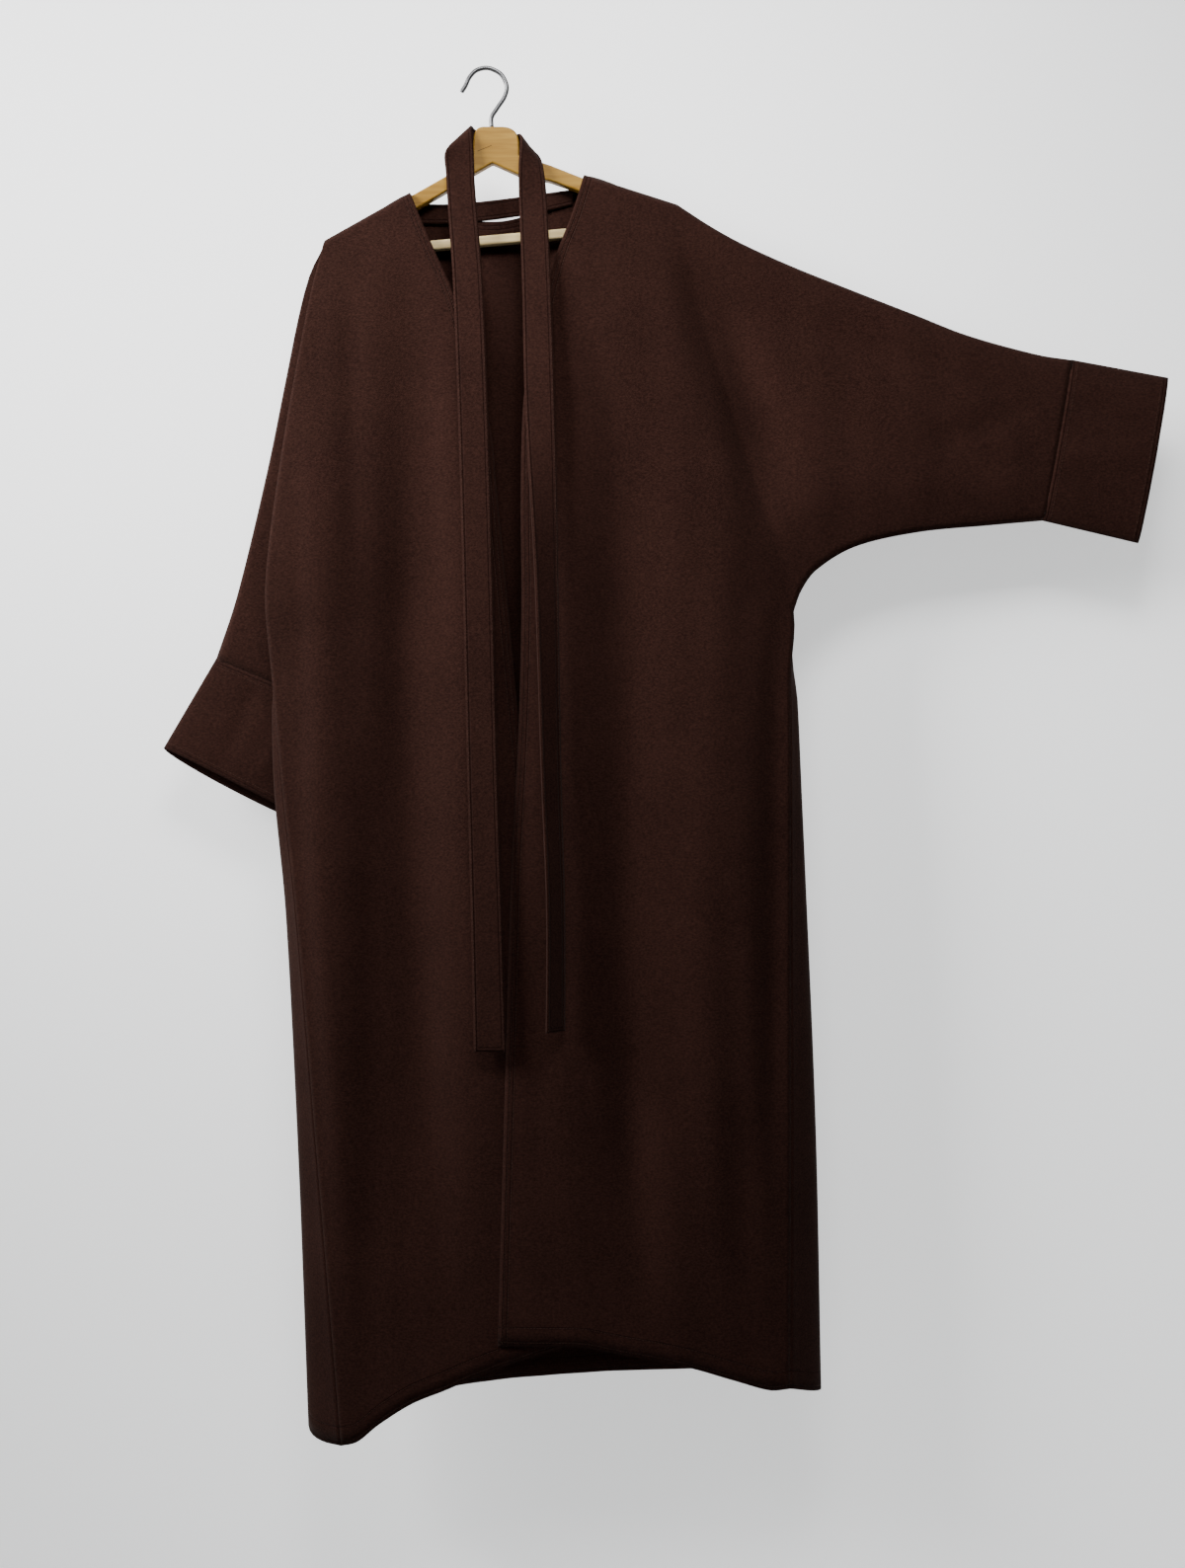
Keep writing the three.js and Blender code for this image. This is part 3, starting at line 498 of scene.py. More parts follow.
def cloth_sheet(name, grids, flips, thick=CLOTH, edges=None, hems=None):
    """One cut piece as a thin shell. Each grid is rows of places in millimetres.

    edges and hems hold the distance of each place from a faced edge and from a hem.
    """
    verts, faces = [], []
    sewn = {"edge_mm": [], "hem_mm": []}
    for g, (grid, flip) in enumerate(zip(grids, flips)):
        grid = np.asarray(grid, float)
        rows, columns = grid.shape[:2]
        base = len(verts)
        verts += (grid.reshape(-1, 3) * MM).tolist()
        for key, given in (("edge_mm", edges), ("hem_mm", hems)):
            far = [60.0] * (rows * columns)
            sewn[key] += given.reshape(-1).tolist() if given is not None and g == 0 else far
        for r in range(rows - 1):
            for c in range(columns - 1):
                first = base + r * columns + c
                quad = [first, first + columns, first + columns + 1, first + 1]
                faces.append(quad[::-1] if flip else quad)
    mesh = bpy.data.meshes.new(name)
    mesh.from_pydata(verts, [], faces)
    for key, values in sewn.items():
        mesh.attributes.new(key, "FLOAT", "POINT").data.foreach_set("value", values)
    shape = bmesh.new()
    shape.from_mesh(mesh)
    bmesh.ops.remove_doubles(shape, verts=shape.verts, dist=0.00003)
    bmesh.ops.dissolve_degenerate(shape, edges=shape.edges, dist=0.00001)
    shape.to_mesh(mesh)
    shape.free()
    piece = new_piece(name, mesh, cloth)
    shell = piece.modifiers.new("cloth", "SOLIDIFY")
    shell.thickness = thick * MM
    shell.offset = 0
    shell.use_even_offset = False
    return piece


def stitches(name, lines):
    """Rows of machine stitches. Each row is its places in millimetres and the way out."""
    verts, faces = [], []
    for line, out in lines:
        line = np.array(line, float)
        out = np.array(out, float)
        if out.ndim == 1:
            out = np.repeat(out[None], len(line), 0)
        run = np.concatenate([[0], np.cumsum(np.linalg.norm(np.diff(line, axis=0), axis=1))])
        for i in range(int(run[-1] / (STITCH_LONG + STITCH_GAP))):
            reached = [i * (STITCH_LONG + STITCH_GAP) + t * STITCH_LONG for t in (0, 0.5, 1)]
            start, top, end = [np.array([np.interp(x, run, line[:, k]) for k in range(3)]) for x in reached]
            up = np.array([np.interp(reached[1], run, out[:, k]) for k in range(3)])
            up /= np.linalg.norm(up) + 1e-9
            along = end - start
            along /= np.linalg.norm(along) + 1e-9
            aside = np.cross(along, up) * STITCH_WIDE / 2
            base = len(verts)
            for q, lift, spread in ((start, 0.0, 0.5), (top, STITCH_RISE, 1), (end, 0.0, 0.5)):
                for corner in (q - aside * spread, q + up * (lift + THREAD_HIGH), q + aside * spread):
                    verts.append((corner * MM).tolist())
            for k in (base, base + 3):
                faces += [(k, k + 1, k + 4, k + 3), (k + 1, k + 2, k + 5, k + 4)]
    mesh = bpy.data.meshes.new(name)
    mesh.from_pydata(verts, [], faces)
    piece = new_piece(name, mesh, thread)
    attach(piece, "root")
    return piece


def edge_line(point, inset, first=0.0, last=1.0, lift=-1.0):
    """A line of places a fixed distance in from a front edge."""
    line = []
    for i in range(160):
        v = mix(first, last, i / 159)
        a, b = point(0, v), point(1, v)
        p = point(inset / np.linalg.norm(b - a), v)
        p[1] += lift
        line.append(p)
    return line


def hem_line(point, rise, first=0.0, last=1.0, lift=-1.0):
    """A line of places a fixed distance up from a hem."""
    line = []
    for i in range(120):
        u = mix(first, last, i / 119)
        a, b = point(u, 1), point(u, 0.95)
        p = point(u, 1 - 0.05 * rise / np.linalg.norm(b - a))
        p[1] += lift
        line.append(p)
    return line


def crepe_group():
    """Pebbled crepe: fine grains that lie a little crosswise, with faint clouds of tone."""
    group, given, out = new_group(
        "Crepe weave",
        [("Vector", "NodeSocketVector"), ("Grains per metre", "NodeSocketFloat"),
         ("Light", "NodeSocketColor"), ("Dark", "NodeSocketColor")],
        [("Color", "NodeSocketColor"), ("Height", "NodeSocketFloat")])
    across = add_node(group, "ShaderNodeMapping", {"Vector": given["Vector"], "Scale": (0.6, 1, 1)})
    pebble = add_node(group, "ShaderNodeTexVoronoi", {
        "Vector": across.outputs["Vector"], "Scale": given["Grains per metre"]}, feature="F1")
    soft = add_node(group, "ShaderNodeTexNoise", {
        "Vector": across.outputs["Vector"], "Scale": 560, "Detail": 3, "Roughness": 0.65})
    cloud = add_node(group, "ShaderNodeTexNoise", {"Vector": given["Vector"], "Scale": 14, "Detail": 5})
    height = add_node(group, "ShaderNodeMath", {
        0: pebble.outputs["Distance"], 1: -0.9, 2: soft.outputs["Fac"]}, operation="MULTIPLY_ADD")
    fleck = add_node(group, "ShaderNodeMapRange", {
        "Value": soft.outputs["Fac"], "From Min": 0.34, "From Max": 0.7, "To Min": 0.02, "To Max": 0.92})
    drift = add_node(group, "ShaderNodeMath", {0: cloud.outputs["Fac"], 1: 0.5, 2: -0.2},
                     operation="MULTIPLY_ADD")
    tone = add_node(group, "ShaderNodeMath", {0: drift.outputs[0], 1: fleck.outputs["Result"]},
                    operation="ADD", use_clamp=True)
    blend = add_node(group, "ShaderNodeMix", {
        "Factor": tone.outputs[0], "A": given["Dark"], "B": given["Light"]}, data_type="RGBA")
    wire_up(group, out, {"Color": blend.outputs["Result"], "Height": height.outputs[0]})
    return group


def sewn_line_group():
    """How far a place lies in the pressed line of a row of stitches, 0 to 1."""
    group, given, out = new_group(
        "Sewn line",
        [(label, "NodeSocketFloat") for label in ("Distance", "Line at", "Width")],
        [("Mask", "NodeSocketFloat")])
    away = add_node(group, "ShaderNodeMath", {0: given["Distance"], 1: given["Line at"]},
                    operation="SUBTRACT")
    share = add_node(group, "ShaderNodeMath", {0: away.outputs[0], 1: given["Width"]}, operation="DIVIDE")
    square = add_node(group, "ShaderNodeMath", {0: share.outputs[0], 1: share.outputs[0]},
                      operation="MULTIPLY")
    mask = add_node(group, "ShaderNodeMath", {0: 1.0, 1: square.outputs[0]},
                    operation="SUBTRACT", use_clamp=True)
    wire_up(group, out, {"Mask": mask.outputs[0]})
    return group


CREPE = crepe_group()
SEWN_LINE = sewn_line_group()


def crepe(name, light, dark, relief_strength):
    """Matt crepe, pressed in along its rows of stitches, with painted shade darkening its colour in those
    pressed grooves.
    """
    material, tree, shader = new_material(name)
    where = add_node(tree, "ShaderNodeTexCoord")
    weave = add_node(tree, "ShaderNodeGroup", {
        "Vector": where.outputs["Object"], "Grains per metre": 750, "Light": light, "Dark": dark},
        node_tree=CREPE)
    sewn = 0.0
    for attribute, at, wide in PRESSED_LINES:
        distance = add_node(tree, "ShaderNodeAttribute", attribute_name=attribute)
        line = add_node(tree, "ShaderNodeGroup", {
            "Distance": distance.outputs["Fac"], "Line at": at, "Width": wide}, node_tree=SEWN_LINE)
        sewn = add_node(tree, "ShaderNodeMath", {0: line.outputs["Mask"], 1: sewn},
                        operation="ADD", use_clamp=True).outputs[0]
    # Painted shade: the colour is multiplied darker inside the pressed stitch grooves, standing in for the
    # shade that falls in them.
    shade = add_node(tree, "ShaderNodeMix", data_type="RGBA", blend_type="MULTIPLY")
    wire_up(tree, shade, {"Factor": sewn, "A": weave.outputs["Color"], "B": (0.72, 0.68, 0.68, 1)})
    pressed = add_node(tree, "ShaderNodeBump", {"Height": sewn, "Strength": 0.6, "Distance": 0.001},
                       invert=True)
    relief = add_node(tree, "ShaderNodeBump", {
        "Normal": pressed.outputs["Normal"], "Height": weave.outputs["Height"],
        "Strength": relief_strength, "Distance": 0.0008})
    wire_up(tree, shader, {
        "Base Color": shade.outputs["Result"], "Normal": relief.outputs["Normal"], "Roughness": 0.86,
        "Specular IOR Level": 0.035, "Sheen Weight": 0.03, "Sheen Roughness": 0.55,
        "Sheen Tint": (0.9, 0.78, 0.72, 1)})
    return material


cloth = crepe("coat cloth", CREPE_LIGHT, CREPE_DARK, 0.22)
thread = crepe("thread", THREAD_LIGHT, THREAD_DARK, 0.05)

right_rows = [[right_point(c / FRONT_COLUMNS, v) for c in range(FRONT_COLUMNS + 1)] for v in BODY_ROWS]
right_start = [row[-1] for row in right_rows[:len(TOP_ROWS)]]
right_front = cloth_sheet(
    "right_front_cloth", [right_rows, hung_sleeve(right_start, -1)], [True, True],
    edges=reach(right_rows, "first column"), hems=reach(right_rows, "last row"))
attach(right_front, "root")
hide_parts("right_front")
stitches("right_front_stitching", [
    (edge_line(right_point, 5, 0.01), FRONT), (edge_line(right_point, 10, 0.01), FRONT),
    (hem_line(right_point, 20, 0.01, 0.99), FRONT), (hem_line(right_point, 4, 0.01, 0.99), FRONT)])

# Left front: the wearer's left front, cut in one with the front half of the raised sleeve.
# The same crepe, sewn to the back along shoulder, underarm and side.
# It hangs over the right front, with its edge and hem turned under and topstitched.

LEFT_EDGE = {"columns": ["at", "x", "y", "z"], "rows": [
    (0, 112, -1, -120), (0.04, 98, -10, -168), (0.08, 80, -16, -216), (0.15, 61, -25, -294),
    (0.21, 46, -31, -366), (0.3, 42, -39, -480), (0.4, 43, -46, -608), (0.5, 40, -51, -742),
    (0.62, 32, -57, -903), (0.78, 26, -64, -1118), (1, 18, -72, -1415)]}
LEFT_SIDE = {"columns": ["at", "x", "y", "z"], "rows": [
    (0, 215, 0, -153), (0.05, 226, -6, -210), (0.1, 240, -10, -268), (0.2, 274, -15, -382),
    (0.3, 312, -18, -497), (0.4, 345, -18, -612), (0.45, 341, -25, -683), (0.5, 341, -31, -754),
    (0.6, 340, -38, -897), (0.8, 339, -48, -1181), (1, 337, -57, -1466)]}
LEFT_TOP_LINE = {"columns": ["at", "x", "z"], "rows": [
    (0, 215, -153), (0.09, 252, -177), (0.17, 288, -197), (0.29, 343, -222), (0.41, 398, -244),
    (0.6, 483, -277), (0.73, 542, -300), (0.91, 622, -322), (1, 661, -328)]}
LEFT_UNDERARM = {"columns": ["at", "x", "y", "z"], "rows": [
    (0, 345, -18, -612), (0.07, 354, -16, -588), (0.16, 371, -13, -565), (0.32, 415, -9, -538),
    (0.54, 486, -5, -521), (0.78, 564, -2, -513), (1, 629, 0, -507)]}
LEFT_HEM = {"columns": ["at", "drop"], "rows": [
    (0, 0), (0.28, -14), (0.38, -13), (0.63, -10), (0.8, -2), (0.93, 4), (1, 0)]}
SLEEVE_SWELL = 6
LEFT_CUFF = {"seam": ((661, 0, -328), (629, 0, -507), 11),
             "end": ((768, 0, -348), (735, 0, -532), 15)}
LEFT_FOLDS = [
    (228, -190, 326, -490, 30, 12), (334, -640, 326, -1180, 20, 7), (150, -400, 165, -1330, 38, 13),
    (72, -330, 62, -1000, 28, -4), (272, -430, 262, -1320, 46, -8), (500, -424, 622, -380, 16, 2.2),
    (96, -250, 150, -430, 15, 1.6), (262, -250, 292, -420, 14, 2.2), (330, -330, 470, -470, 18, 2.4),
    (70, -760, 64, -1180, 13, 1.4), (270, -900, 286, -1360, 20, 3.2), (160, -1050, 176, -1400, 22, 2.6),
    (420, -300, 560, -470, 14, 1.5), (236, -560, 300, -610, 12, 1.8), (560, -330, 640, -470, 16, 2.0)]


def shoulder_left(x):
    """The height of the shoulder seam over the hanger's left arm."""
    return -120 - (33 / 103) * (x - 112)


def seam_shift(v, side):
    """How far a side edge on the raised sleeve's side moves for the seam's lap."""
    return np.array([0, side * mix(LAP, 0, ease((v - ARMPIT) / 0.08)), 0])


def left_point(u, v):
    return front_point(LEFT_EDGE, LEFT_SIDE, LEFT_HEM, LEFT_FOLDS, shoulder_left,
                       lambda t: seam_shift(t, -1), u, v)


def coons(start, finish, top, bottom, shares):
    """A block of cloth between two crosswise and two lengthwise lines."""
    start, finish, top, bottom = (np.array(line) for line in (start, finish, top, bottom))
    v = np.array(shares)[:, None, None]
    u = np.linspace(0, 1, len(top))[None, :, None]
    across = (1 - u) * start[:, None] + u * finish[:, None]
    along = (1 - v) * top[None] + v * bottom[None]
    corners = ((1 - u) * (1 - v) * start[0] + u * (1 - v) * finish[0]
               + (1 - u) * v * start[-1] + u * v * finish[-1])
    return across + along - corners


def held_sleeve(start, side, folds, columns=52):
    """Half of the raised sleeve, from the body's side to the cuff's seam."""
    def along(table):
        return [place(table, i / columns) + np.array([0, side * LAP, 0]) for i in range(columns + 1)]

    top, bottom = along(LEFT_TOP_LINE), along(LEFT_UNDERARM)
    finish = [cuff_point(LEFT_CUFF["seam"], w, side) for w in ARM_ROWS]
    top[0], bottom[0] = start[0], start[-1]
    top[-1], bottom[-1] = finish[0], finish[-1]
    rows = coons(start, finish, top, bottom, ARM_ROWS)
    for r, w in enumerate(ARM_ROWS):
        for c in range(columns + 1):
            free = 4 * w * (1 - w) * math.sin(math.pi * c / columns)
            rows[r, c, 1] += side * SLEEVE_SWELL * free
            if 0 < c < columns:
                rows[r, c, 1] += fold_push(folds, rows[r, c, 0], rows[r, c, 2]) * min(1, free * 2)
    return rows


left_rows = [[left_point(c / FRONT_COLUMNS, v) for c in range(FRONT_COLUMNS + 1)] for v in BODY_ROWS]
left_start = [row[-1] for row in left_rows[:len(TOP_ROWS)]]
left_front = cloth_sheet(
    "left_front_cloth", [left_rows, held_sleeve(left_start, -1, LEFT_FOLDS)], [False, False],
    edges=reach(left_rows, "first column"), hems=reach(left_rows, "last row"))
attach(left_front, "root")
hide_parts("left_front")
stitches("left_front_stitching", [
    (edge_line(left_point, 5, 0.01), FRONT), (edge_line(left_point, 10, 0.01), FRONT),
    (hem_line(left_point, 20, 0.01, 0.99), FRONT), (hem_line(left_point, 4, 0.01, 0.99), FRONT)])

# Back: one piece of the same crepe with the back halves of both sleeves, no seam down its middle.
# It hangs behind the hanger and wraps round both sides to the side seams.
# Its neckline and hem are turned under and topstitched.

BACK_ROUND = {"columns": ["at", "left", "right", "behind"], "rows": [
    (0, 0, 0, 1), (0.05, 0, 0, 3), (0.15, 0, 0, 7), (0.3, 0, 2, 12), (0.4, 0, 4, 13),
    (0.5, 9, 9, 14), (0.6, 14, 17, 16), (0.8, 25, 30, 19), (1, 40, 38, 22)]}
BACK_HEM = {"columns": ["at", "drop"], "rows": [
    (0, 10), (0.03, 12), (0.055, 8), (0.08, -3), (0.13, -3), (0.2, 1), (0.32, -14), (0.5, -17), (0.7, -12),
    (0.85, -2), (0.94, 7), (1, 0)]}
BACK_TOP = {"columns": ["at", "x", "z"], "rows": [
    (0, -178, -193), (0.12, -131, -166.5), (0.24, -84, -140), (0.3, -62, -157), (0.4, -24, -166),
    (0.5, 16, -168), (0.6, 54, -158), (0.68, 86, -139), (0.74, 112, -120), (0.87, 163, -136.5),
    (1, 215, -153)]}
BACK_FOLDS = [
    (10, -300, 20, -1380, 44, -6), (150, -260, 165, -1400, 40, 7), (-60, -760, -70, -1420, 36, 6),
    (255, -620, 270, -1400, 34, -5),
    (60, -210, 76, -520, 20, 2.4), (-20, -230, -50, -480, 18, 2.0), (210, -420, 320, -560, 16, 2.4),
    (100, -820, 92, -1430, 22, 3.0), (-10, -900, -4, -1440, 18, -2.4), (300, -900, 310, -1430, 16, 2.2)]
BACK_KEYS = [0, 1 / 13, 2 / 13, 5 / 13, 8 / 13, 11 / 13, 12 / 13, 1]
BACK_PLACES = [i / 117 for i in range(118)]


def back_row(v, places):
    """A crosswise row, from the hanging sleeve's side, round both folds, to the raised one's."""
    behind = read(BACK_ROUND, "behind", v)
    round_left, round_right = read(BACK_ROUND, "left", v), read(BACK_ROUND, "right", v)
    # How far it lies in the hanging sleeve's pleat: not at the shoulder, nor below the armpit.
    nest = ease(v / 0.08) * (1 - ease((v - 0.34) / 0.06))
    hung = place(RIGHT_SIDE, v) + hung_shift(v, 1)
    hung[0] += (mix(12 * min(1, v / 0.16), 5, ease((v - 0.34) / 0.06)) * ease(v / 0.08)
                * (1 - ease((v - ARMPIT) / 0.05)))
    hung[1] += 10 * nest * min(1, v / 0.14)
    held = place(LEFT_SIDE, v) + seam_shift(v, 1)
    if v < ARMPIT:
        held[1] = mix(behind, held[1], ease((v - 0.3) / 0.1))
    if v == 0:
        held[1] = LAP
    forward = behind - 26 * ease((v - 0.06) / 0.12) * (1 - ease((v - 0.5) / 0.12))
    fold = mix(-178, HUNG_CROTCH[0], min(1, v / ARMPIT))
    low, high = hung[0] - round_left, held[0] + round_right
    x = [hung[0], low, low + 22 + round_left, mix(low, high, 0.36), mix(low, high, 0.62), high - 45,
         high - 14, held[0]]
    y = [hung[1], mix(hung[1], forward, 0.45), forward - 2 * ease(v / 0.1), mix(forward, behind, 0.55),
         behind, behind, mix(held[1], behind, 0.8), held[1]]
    if nest > 0:
        inner = nest * ease((v - 0.04) / 0.1)
        x[1:3] = [mix(x[1], hung[0] + 8, nest), mix(x[2], hung[0] + 44, nest)]
        y[1:3] = [mix(y[1], hung[1] - 5, inner), mix(y[2], hung[1] - 5, inner)]
        x[3] = mix(x[3], max(fold + 22, hung[0] + 80), nest)
        y[3] = mix(y[3], -15, inner * ease(v / 0.2))
    if v > ARMPIT:
        wrapped = ease((v - ARMPIT) / 0.07)
        x[6] = mix(x[6], high, wrapped)
        y[6] = mix(y[6], mix(held[1], behind, 0.45), wrapped)
    table = {"columns": ["at", "x", "y", "z"], "rows": [(a, p, q, 0) for a, p, q in zip(BACK_KEYS, x, y)]}
    row = []
    for u in places:
        p = place(table, u)
        p[2] = mix(hung[2], held[2], u)
        top = place(BACK_TOP, u)
        at_top = (1 - v / 0.2) ** 3 if v < 0.2 else 0
        p[2] += (top[2] - mix(-193, -153, u)) * at_top
        p[0] = mix(p[0], top[0], at_top)
        p[2] -= read(BACK_HEM, "drop", u) * v ** 5
        p[1] += fold_push(BACK_FOLDS, p[0], p[2]) * ease(u / 0.12) * ease((1 - u) / 0.12)
        if v == 0:
            p[1] = LAP
        arm = shoulder_right(p[0]) if p[0] < 14 else shoulder_left(p[0])
        p[1] += over_hanger(arm - p[2]) * (1 - ease((v - 0.24) / 0.1)) * ease((p[0] + 190) / 8)
        p[1] += 3.4 * math.exp(-(((p[0] - 12) / 95) ** 4)) * (1 - ease(v / 0.16))
        row.append(p)
    return row


def back_hem(rise, lift):
    """A line of places a fixed distance up from the back's hem."""
    line = []
    for a, b in zip(back_row(1, BACK_PLACES)[3:-3], back_row(0.97, BACK_PLACES)[3:-3]):
        line.append(mix(a, b, rise / np.linalg.norm(b - a)) + np.array([0, lift, 0]))
    return line


back_rows = [back_row(v, BACK_PLACES) for v in BODY_ROWS]
arm_part = back_rows[:len(TOP_ROWS)]
back = cloth_sheet("back_cloth", [
    back_rows, held_sleeve([row[-1] for row in arm_part], 1, []),
    hung_sleeve([row[0] for row in arm_part], 1)], [True, True, False],
    edges=reach(back_rows, "first row"), hems=reach(back_rows, "last row"))
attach(back, "root")
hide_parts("back")
neckline = back_row(0, BACK_PLACES)[30:86]
stitches("back_stitching", [
    (back_hem(20, -0.9), FRONT), (back_hem(4, -0.9), FRONT), (back_hem(12, -0.9), FRONT),
    (back_hem(20, 0.9), (0, 1, 0)), (back_hem(4, 0.9), (0, 1, 0)),
    ([p + np.array([0, -0.9, -6]) for p in neckline], FRONT),
    ([p + np.array([0, -0.9, -12]) for p in neckline], FRONT)])

# Cuffs: bands of doubled crepe, one closed ring on each sleeve's end.
# Each is seamed to the sleeve, laps a little over it, and is topstitched along both edges.

BAND = 2.4
CUFF_LONG = 110
CUFF_OVERLAP = 0.014
CUFF_STEPS = 30
CUFF_AROUND = 150
# A soft dent: its share of the way down, half width, slope and depth.
LEFT_DENTS = [
    (0.3, 0.05, 0.12, 1.6), (0.55, 0.07, -0.1, -1.4), (0.76, 0.05, 0.16, 1.8), (0.14, 0.04, 0.1, -0.9)]
RIGHT_DENTS = [(0.34, 0.06, 0.1, 1.5), (0.62, 0.06, -0.08, -1.3), (0.82, 0.05, 0.1, 1.2)]


def cuff_grid(sections, dents, longer_behind):
    """Rings of places from the sleeve's seam to the cuff's open end."""
    rows = []
    for i in range(CUFF_STEPS + 1):
        t = i / CUFF_STEPS
        row = []
        for j in range(CUFF_AROUND + 1):
            angle = 2 * math.pi * j / CUFF_AROUND
            w = (1 - math.cos(angle)) / 2
            face = math.sin(angle)
            ends = []
            for top, bottom, deep in (sections["seam"], sections["end"]):
                p = mix(np.array(top, float), np.array(bottom, float), w)
                p[1] -= face * deep
                ends.append(p)
            p = mix(ends[0], ends[1], mix(-CUFF_OVERLAP, 1, t))
            uneven = longer_behind * (max(0, -face) - 0.35 * max(0, face)) / CUFF_LONG
            p += (ends[1] - ends[0]) * t * t * uneven
            for at, wide, slope, deep in dents:
                off = (w - at - slope * (t - 0.5)) / wide
                grown = ease(t / 0.2) * math.sin(math.pi * min(1, 0.2 + t * 0.75))
                p[1] += deep * face * math.exp(-off * off) * grown
            row.append(p)
        rows.append(row)
    return rows


def cuff_lines(rows, lift=1.35):
    """Rows of places beside the seam and the end, on the front and the back."""
    lines = []
    for row in (rows[2], rows[-3]):
        middle = sum(row) / len(row)
        ways = []
        for p in row:
            off = p[1] - middle[1]
            ways.append(np.array([0, math.copysign(1, off if abs(off) > 0.2 else 1), 0]))
        line = [p + way * lift for p, way in zip(row, ways)]
        half = len(line) // 2
        lines.append((line[2:half - 2], np.array(ways[2:half - 2])))
        lines.append((line[half + 2:-2], np.array(ways[half + 2:-2])))
    return lines


left_cuff_rows = cuff_grid(LEFT_CUFF, LEFT_DENTS, 3)
right_cuff_rows = cuff_grid(RIGHT_CUFF, RIGHT_DENTS, 7)
left_cuff = cloth_sheet("left_cuff_cloth", [left_cuff_rows], [False], BAND, hems=np.minimum(
    reach(left_cuff_rows, "first row"), reach(left_cuff_rows, "last row")).clip(0, 15))
right_cuff = cloth_sheet("right_cuff_cloth", [right_cuff_rows], [True], BAND, hems=np.minimum(
    reach(right_cuff_rows, "first row"), reach(right_cuff_rows, "last row")).clip(0, 15))
for cuff, node in ((left_cuff, "left_cuff"), (right_cuff, "right_cuff")):
    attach(cuff, "root")
    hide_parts(node)
stitches("left_cuff_stitching", cuff_lines(left_cuff_rows))
stitches("right_cuff_stitching", cuff_lines(right_cuff_rows))

# Neck strip: a narrow doubled strip of the same crepe inside the back neckline.
# It is laid flat against the back and stitched down along both edges.

NECK_STRIP = {"columns": ["at", "x", "y", "z", "wide", "turn", "lean"], "rows": [
    (0, -80, 8.5, -160, 22, 88, 0), (0.25, -36, 8.6, -160, 22, 86, 0), (0.5, 14, 8.6, -155, 22, 84, 0),
    (0.75, 62, 8.6, -148, 21, 82, 0), (1, 100, 8.6, -141, 18, 78, 0)]}


def band_grid(table, count, columns):
    """A flat band along a table of places, with its width turned about its length."""
    rows = []
    for at in (i / count for i in range(count + 1)):
        turn = math.radians(read(table, "turn", at))
        lean = math.radians(read(table, "lean", at))
        across = np.array([math.cos(turn) * math.cos(lean), math.sin(lean), math.sin(turn) * math.cos(lean)])
        across *= read(table, "wide", at)
        rows.append([place(table, at) + across * (c / columns - 0.5) for c in range(columns + 1)])
    return rows


neck_rows = band_grid(NECK_STRIP, 60, 8)
neck_strip = cloth_sheet("neck_strip_cloth", [neck_rows], [False], BAND, hems=np.minimum(
    reach(neck_rows, "first column"), reach(neck_rows, "last column")))
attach(neck_strip, "root")
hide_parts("neck_strip")
stitches("neck_strip_stitching", [
    ([mix(row[0], row[-1], share) + np.array([0, -1.3, 0]) for row in neck_rows], FRONT)
    for share in (0.09, 0.91)])

# Belt: a long loose tie belt of doubled crepe, about 33 mm wide, pressed flat and topstitched.
# It lies round the hanger's block and falls in front, one strand flat and one turned on edge.

BELT = {"columns": ["at", "x", "y", "z", "wide", "turn", "lean"], "rows": [
    (0, 10, -79, -1094, 35, 0, 0), (0.1, 6, -74, -950, 34, 0, 0), (0.2, 1, -67, -790, 33, 0, 0),
    (0.3, -5, -59, -560, 33, 0, 0), (0.38, -11, -47, -380, 33, 0, 0), (0.42, -17, -32, -250, 33, 0, 0),
    (0.45, -25, -18, -150, 32, 0, 0), (0.46, -27, -15, -118, 32, 8, 3),
    (0.473, -28, -11, -80.5, 38, 45, 14), (0.481, -17.6, 3, -77.2, 30, 66, 25),
    (0.49, -7, 12.6, -77.5, 26, 80, 8), (0.51, 30, 12.8, -84, 26, 100, -8),
    (0.52, 46.8, 1, -84, 26, 128, -25), (0.5275, 51.2, -10, -95, 27, 146, -18),
    (0.538, 52.6, -16, -116, 29, 165, -8), (0.55, 54.4, -18, -150, 31, 180, 0),
    (0.58, 59, -32, -250, 32, 180, 0), (0.62, 63, -49, -380, 33, 180, 0),
    (0.7, 70, -63, -560, 28, 180, -25), (0.8, 76, -74, -790, 26, 180, -38),
    (0.9, 81, -80, -940, 26, 180, -45), (1, 81, -84, -1072, 28, 180, -48)]}

belt_rows = band_grid(BELT, 420, 10)
belt = cloth_sheet("belt_cloth", [belt_rows], [False], BAND, hems=np.minimum(
    np.minimum(reach(belt_rows, "first column"), reach(belt_rows, "last column")),
    np.minimum(reach(belt_rows, "first row"), reach(belt_rows, "last row"))))
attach(belt, "root")
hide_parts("belt")


def belt_line(share, side):
    """Places along the belt at a share of its width, and the way out of that face."""
    line, ways = [], []
    for i, row in enumerate(belt_rows):
        along = belt_rows[min(i + 1, len(belt_rows) - 1)][0] - belt_rows[max(i - 1, 0)][0]
        way = np.cross(along, row[-1] - row[0])
        way = side * way / (np.linalg.norm(way) + 1e-9)
        line.append(mix(row[0], row[-1], share) + way * 1.3)
        ways.append(way)
    return line, np.array(ways)


stitches("belt_stitching", [belt_line(share, side) for share in (0.06, 0.94) for side in (-1, 1)])

# Setting: a pale smooth wall close behind the coat and a pale plain floor.
# A large soft lamp stands to the upper left and a smaller one above, in a faint even light.

WALL_AT = 0.075
FLOOR_AT = -1.95
CAMERA_AT = (0.121, -2.1, -0.804)
SENSOR_HIGH = 36
PHOTO_HIGH_PX = 1588
PX_PER_METRE = 900


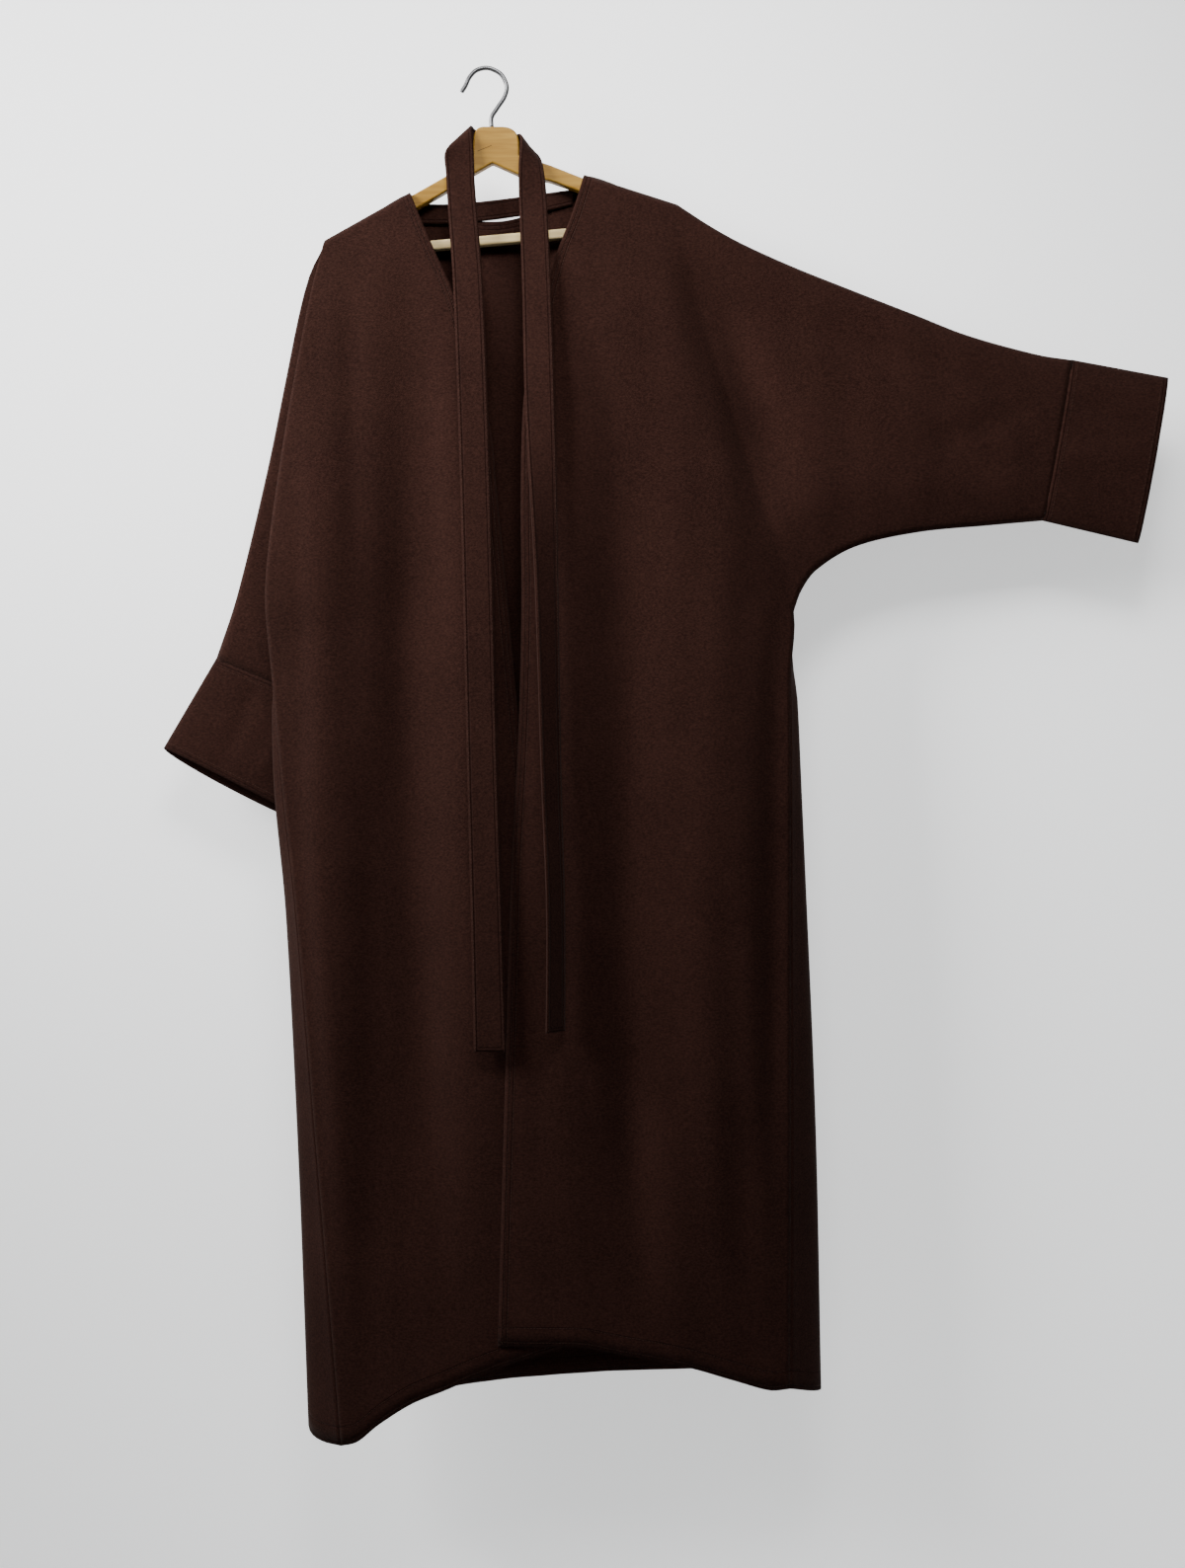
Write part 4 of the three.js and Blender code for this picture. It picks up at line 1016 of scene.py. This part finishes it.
def matt(name, color, glow=0.0, seen_one_side=False):
    """Flat paint. glow evens it out, as a lamp washed over the wall alone would.

    With seen_one_side it is clear from behind.
    """
    material, tree, shader = new_material(name)
    wire_up(tree, shader, {
        "Base Color": color, "Roughness": 0.95, "Specular IOR Level": 0.1,
        "Emission Color": (0.99, 1, 1, 1), "Emission Strength": glow})
    if seen_one_side:
        facing = add_node(tree, "ShaderNodeNewGeometry")
        clear = add_node(tree, "ShaderNodeBsdfTransparent")
        blend = add_node(tree, "ShaderNodeMixShader", {
            "Fac": facing.outputs["Backfacing"], 1: shader.outputs["BSDF"], 2: clear.outputs["BSDF"]})
        wire_up(tree, tree.nodes["Material Output"], {"Surface": blend.outputs["Shader"]})
    return material


def plane(name, corners, material):
    mesh = bpy.data.meshes.new(name)
    mesh.from_pydata(corners, [], [(0, 1, 2, 3)])
    new_piece(name, mesh, material)


plane("wall", [(-6, WALL_AT, FLOOR_AT), (6, WALL_AT, FLOOR_AT), (6, WALL_AT, 3), (-6, WALL_AT, 3)],
      matt("wall paint", (0.75, 0.75, 0.755, 1), 0.78, True))
plane("floor", [(-6, -6, FLOOR_AT), (6, -6, FLOOR_AT), (6, 6, FLOOR_AT), (-6, 6, FLOOR_AT)],
      matt("floor", (0.5, 0.5, 0.5, 1)))

world = bpy.data.worlds.new("studio")
bpy.context.scene.world = world
world.use_nodes = True
wire_up(world.node_tree, world.node_tree.nodes["Background"], {
    "Color": (0.95, 0.97, 1, 1), "Strength": 0.16})


def lamp(name, at, aim, size, power, spread):
    data = bpy.data.lights.new(name, "AREA")
    data.shape = "RECTANGLE"
    data.size, data.size_y = size
    data.spread = math.radians(spread)
    data.energy = power
    piece = bpy.data.objects.new(name, data)
    bpy.context.scene.collection.objects.link(piece)
    piece.location = at
    piece.rotation_euler = (Vector(aim) - Vector(at)).to_track_quat("-Z", "Y").to_euler()


lamp("key", at=(-1.8, -0.85, 0.55), aim=(0.06, 0, -0.42), size=(1.0, 1.0), power=33.5, spread=75)
lamp("top", at=(0.15, -1.3, 0.85), aim=(0.15, 0, -0.3), size=(0.8, 0.5), power=8.2, spread=75)

camera_data = bpy.data.cameras.new("camera")
camera_data.sensor_fit = "VERTICAL"
camera_data.sensor_height = SENSOR_HIGH
camera_data.lens = SENSOR_HIGH * PX_PER_METRE * -CAMERA_AT[1] / PHOTO_HIGH_PX
camera_data.clip_start = 0.05
camera = bpy.data.objects.new("camera", camera_data)
bpy.context.scene.collection.objects.link(camera)
camera.location = CAMERA_AT
camera.rotation_euler = (math.radians(90), 0, 0)
bpy.context.scene.camera = camera
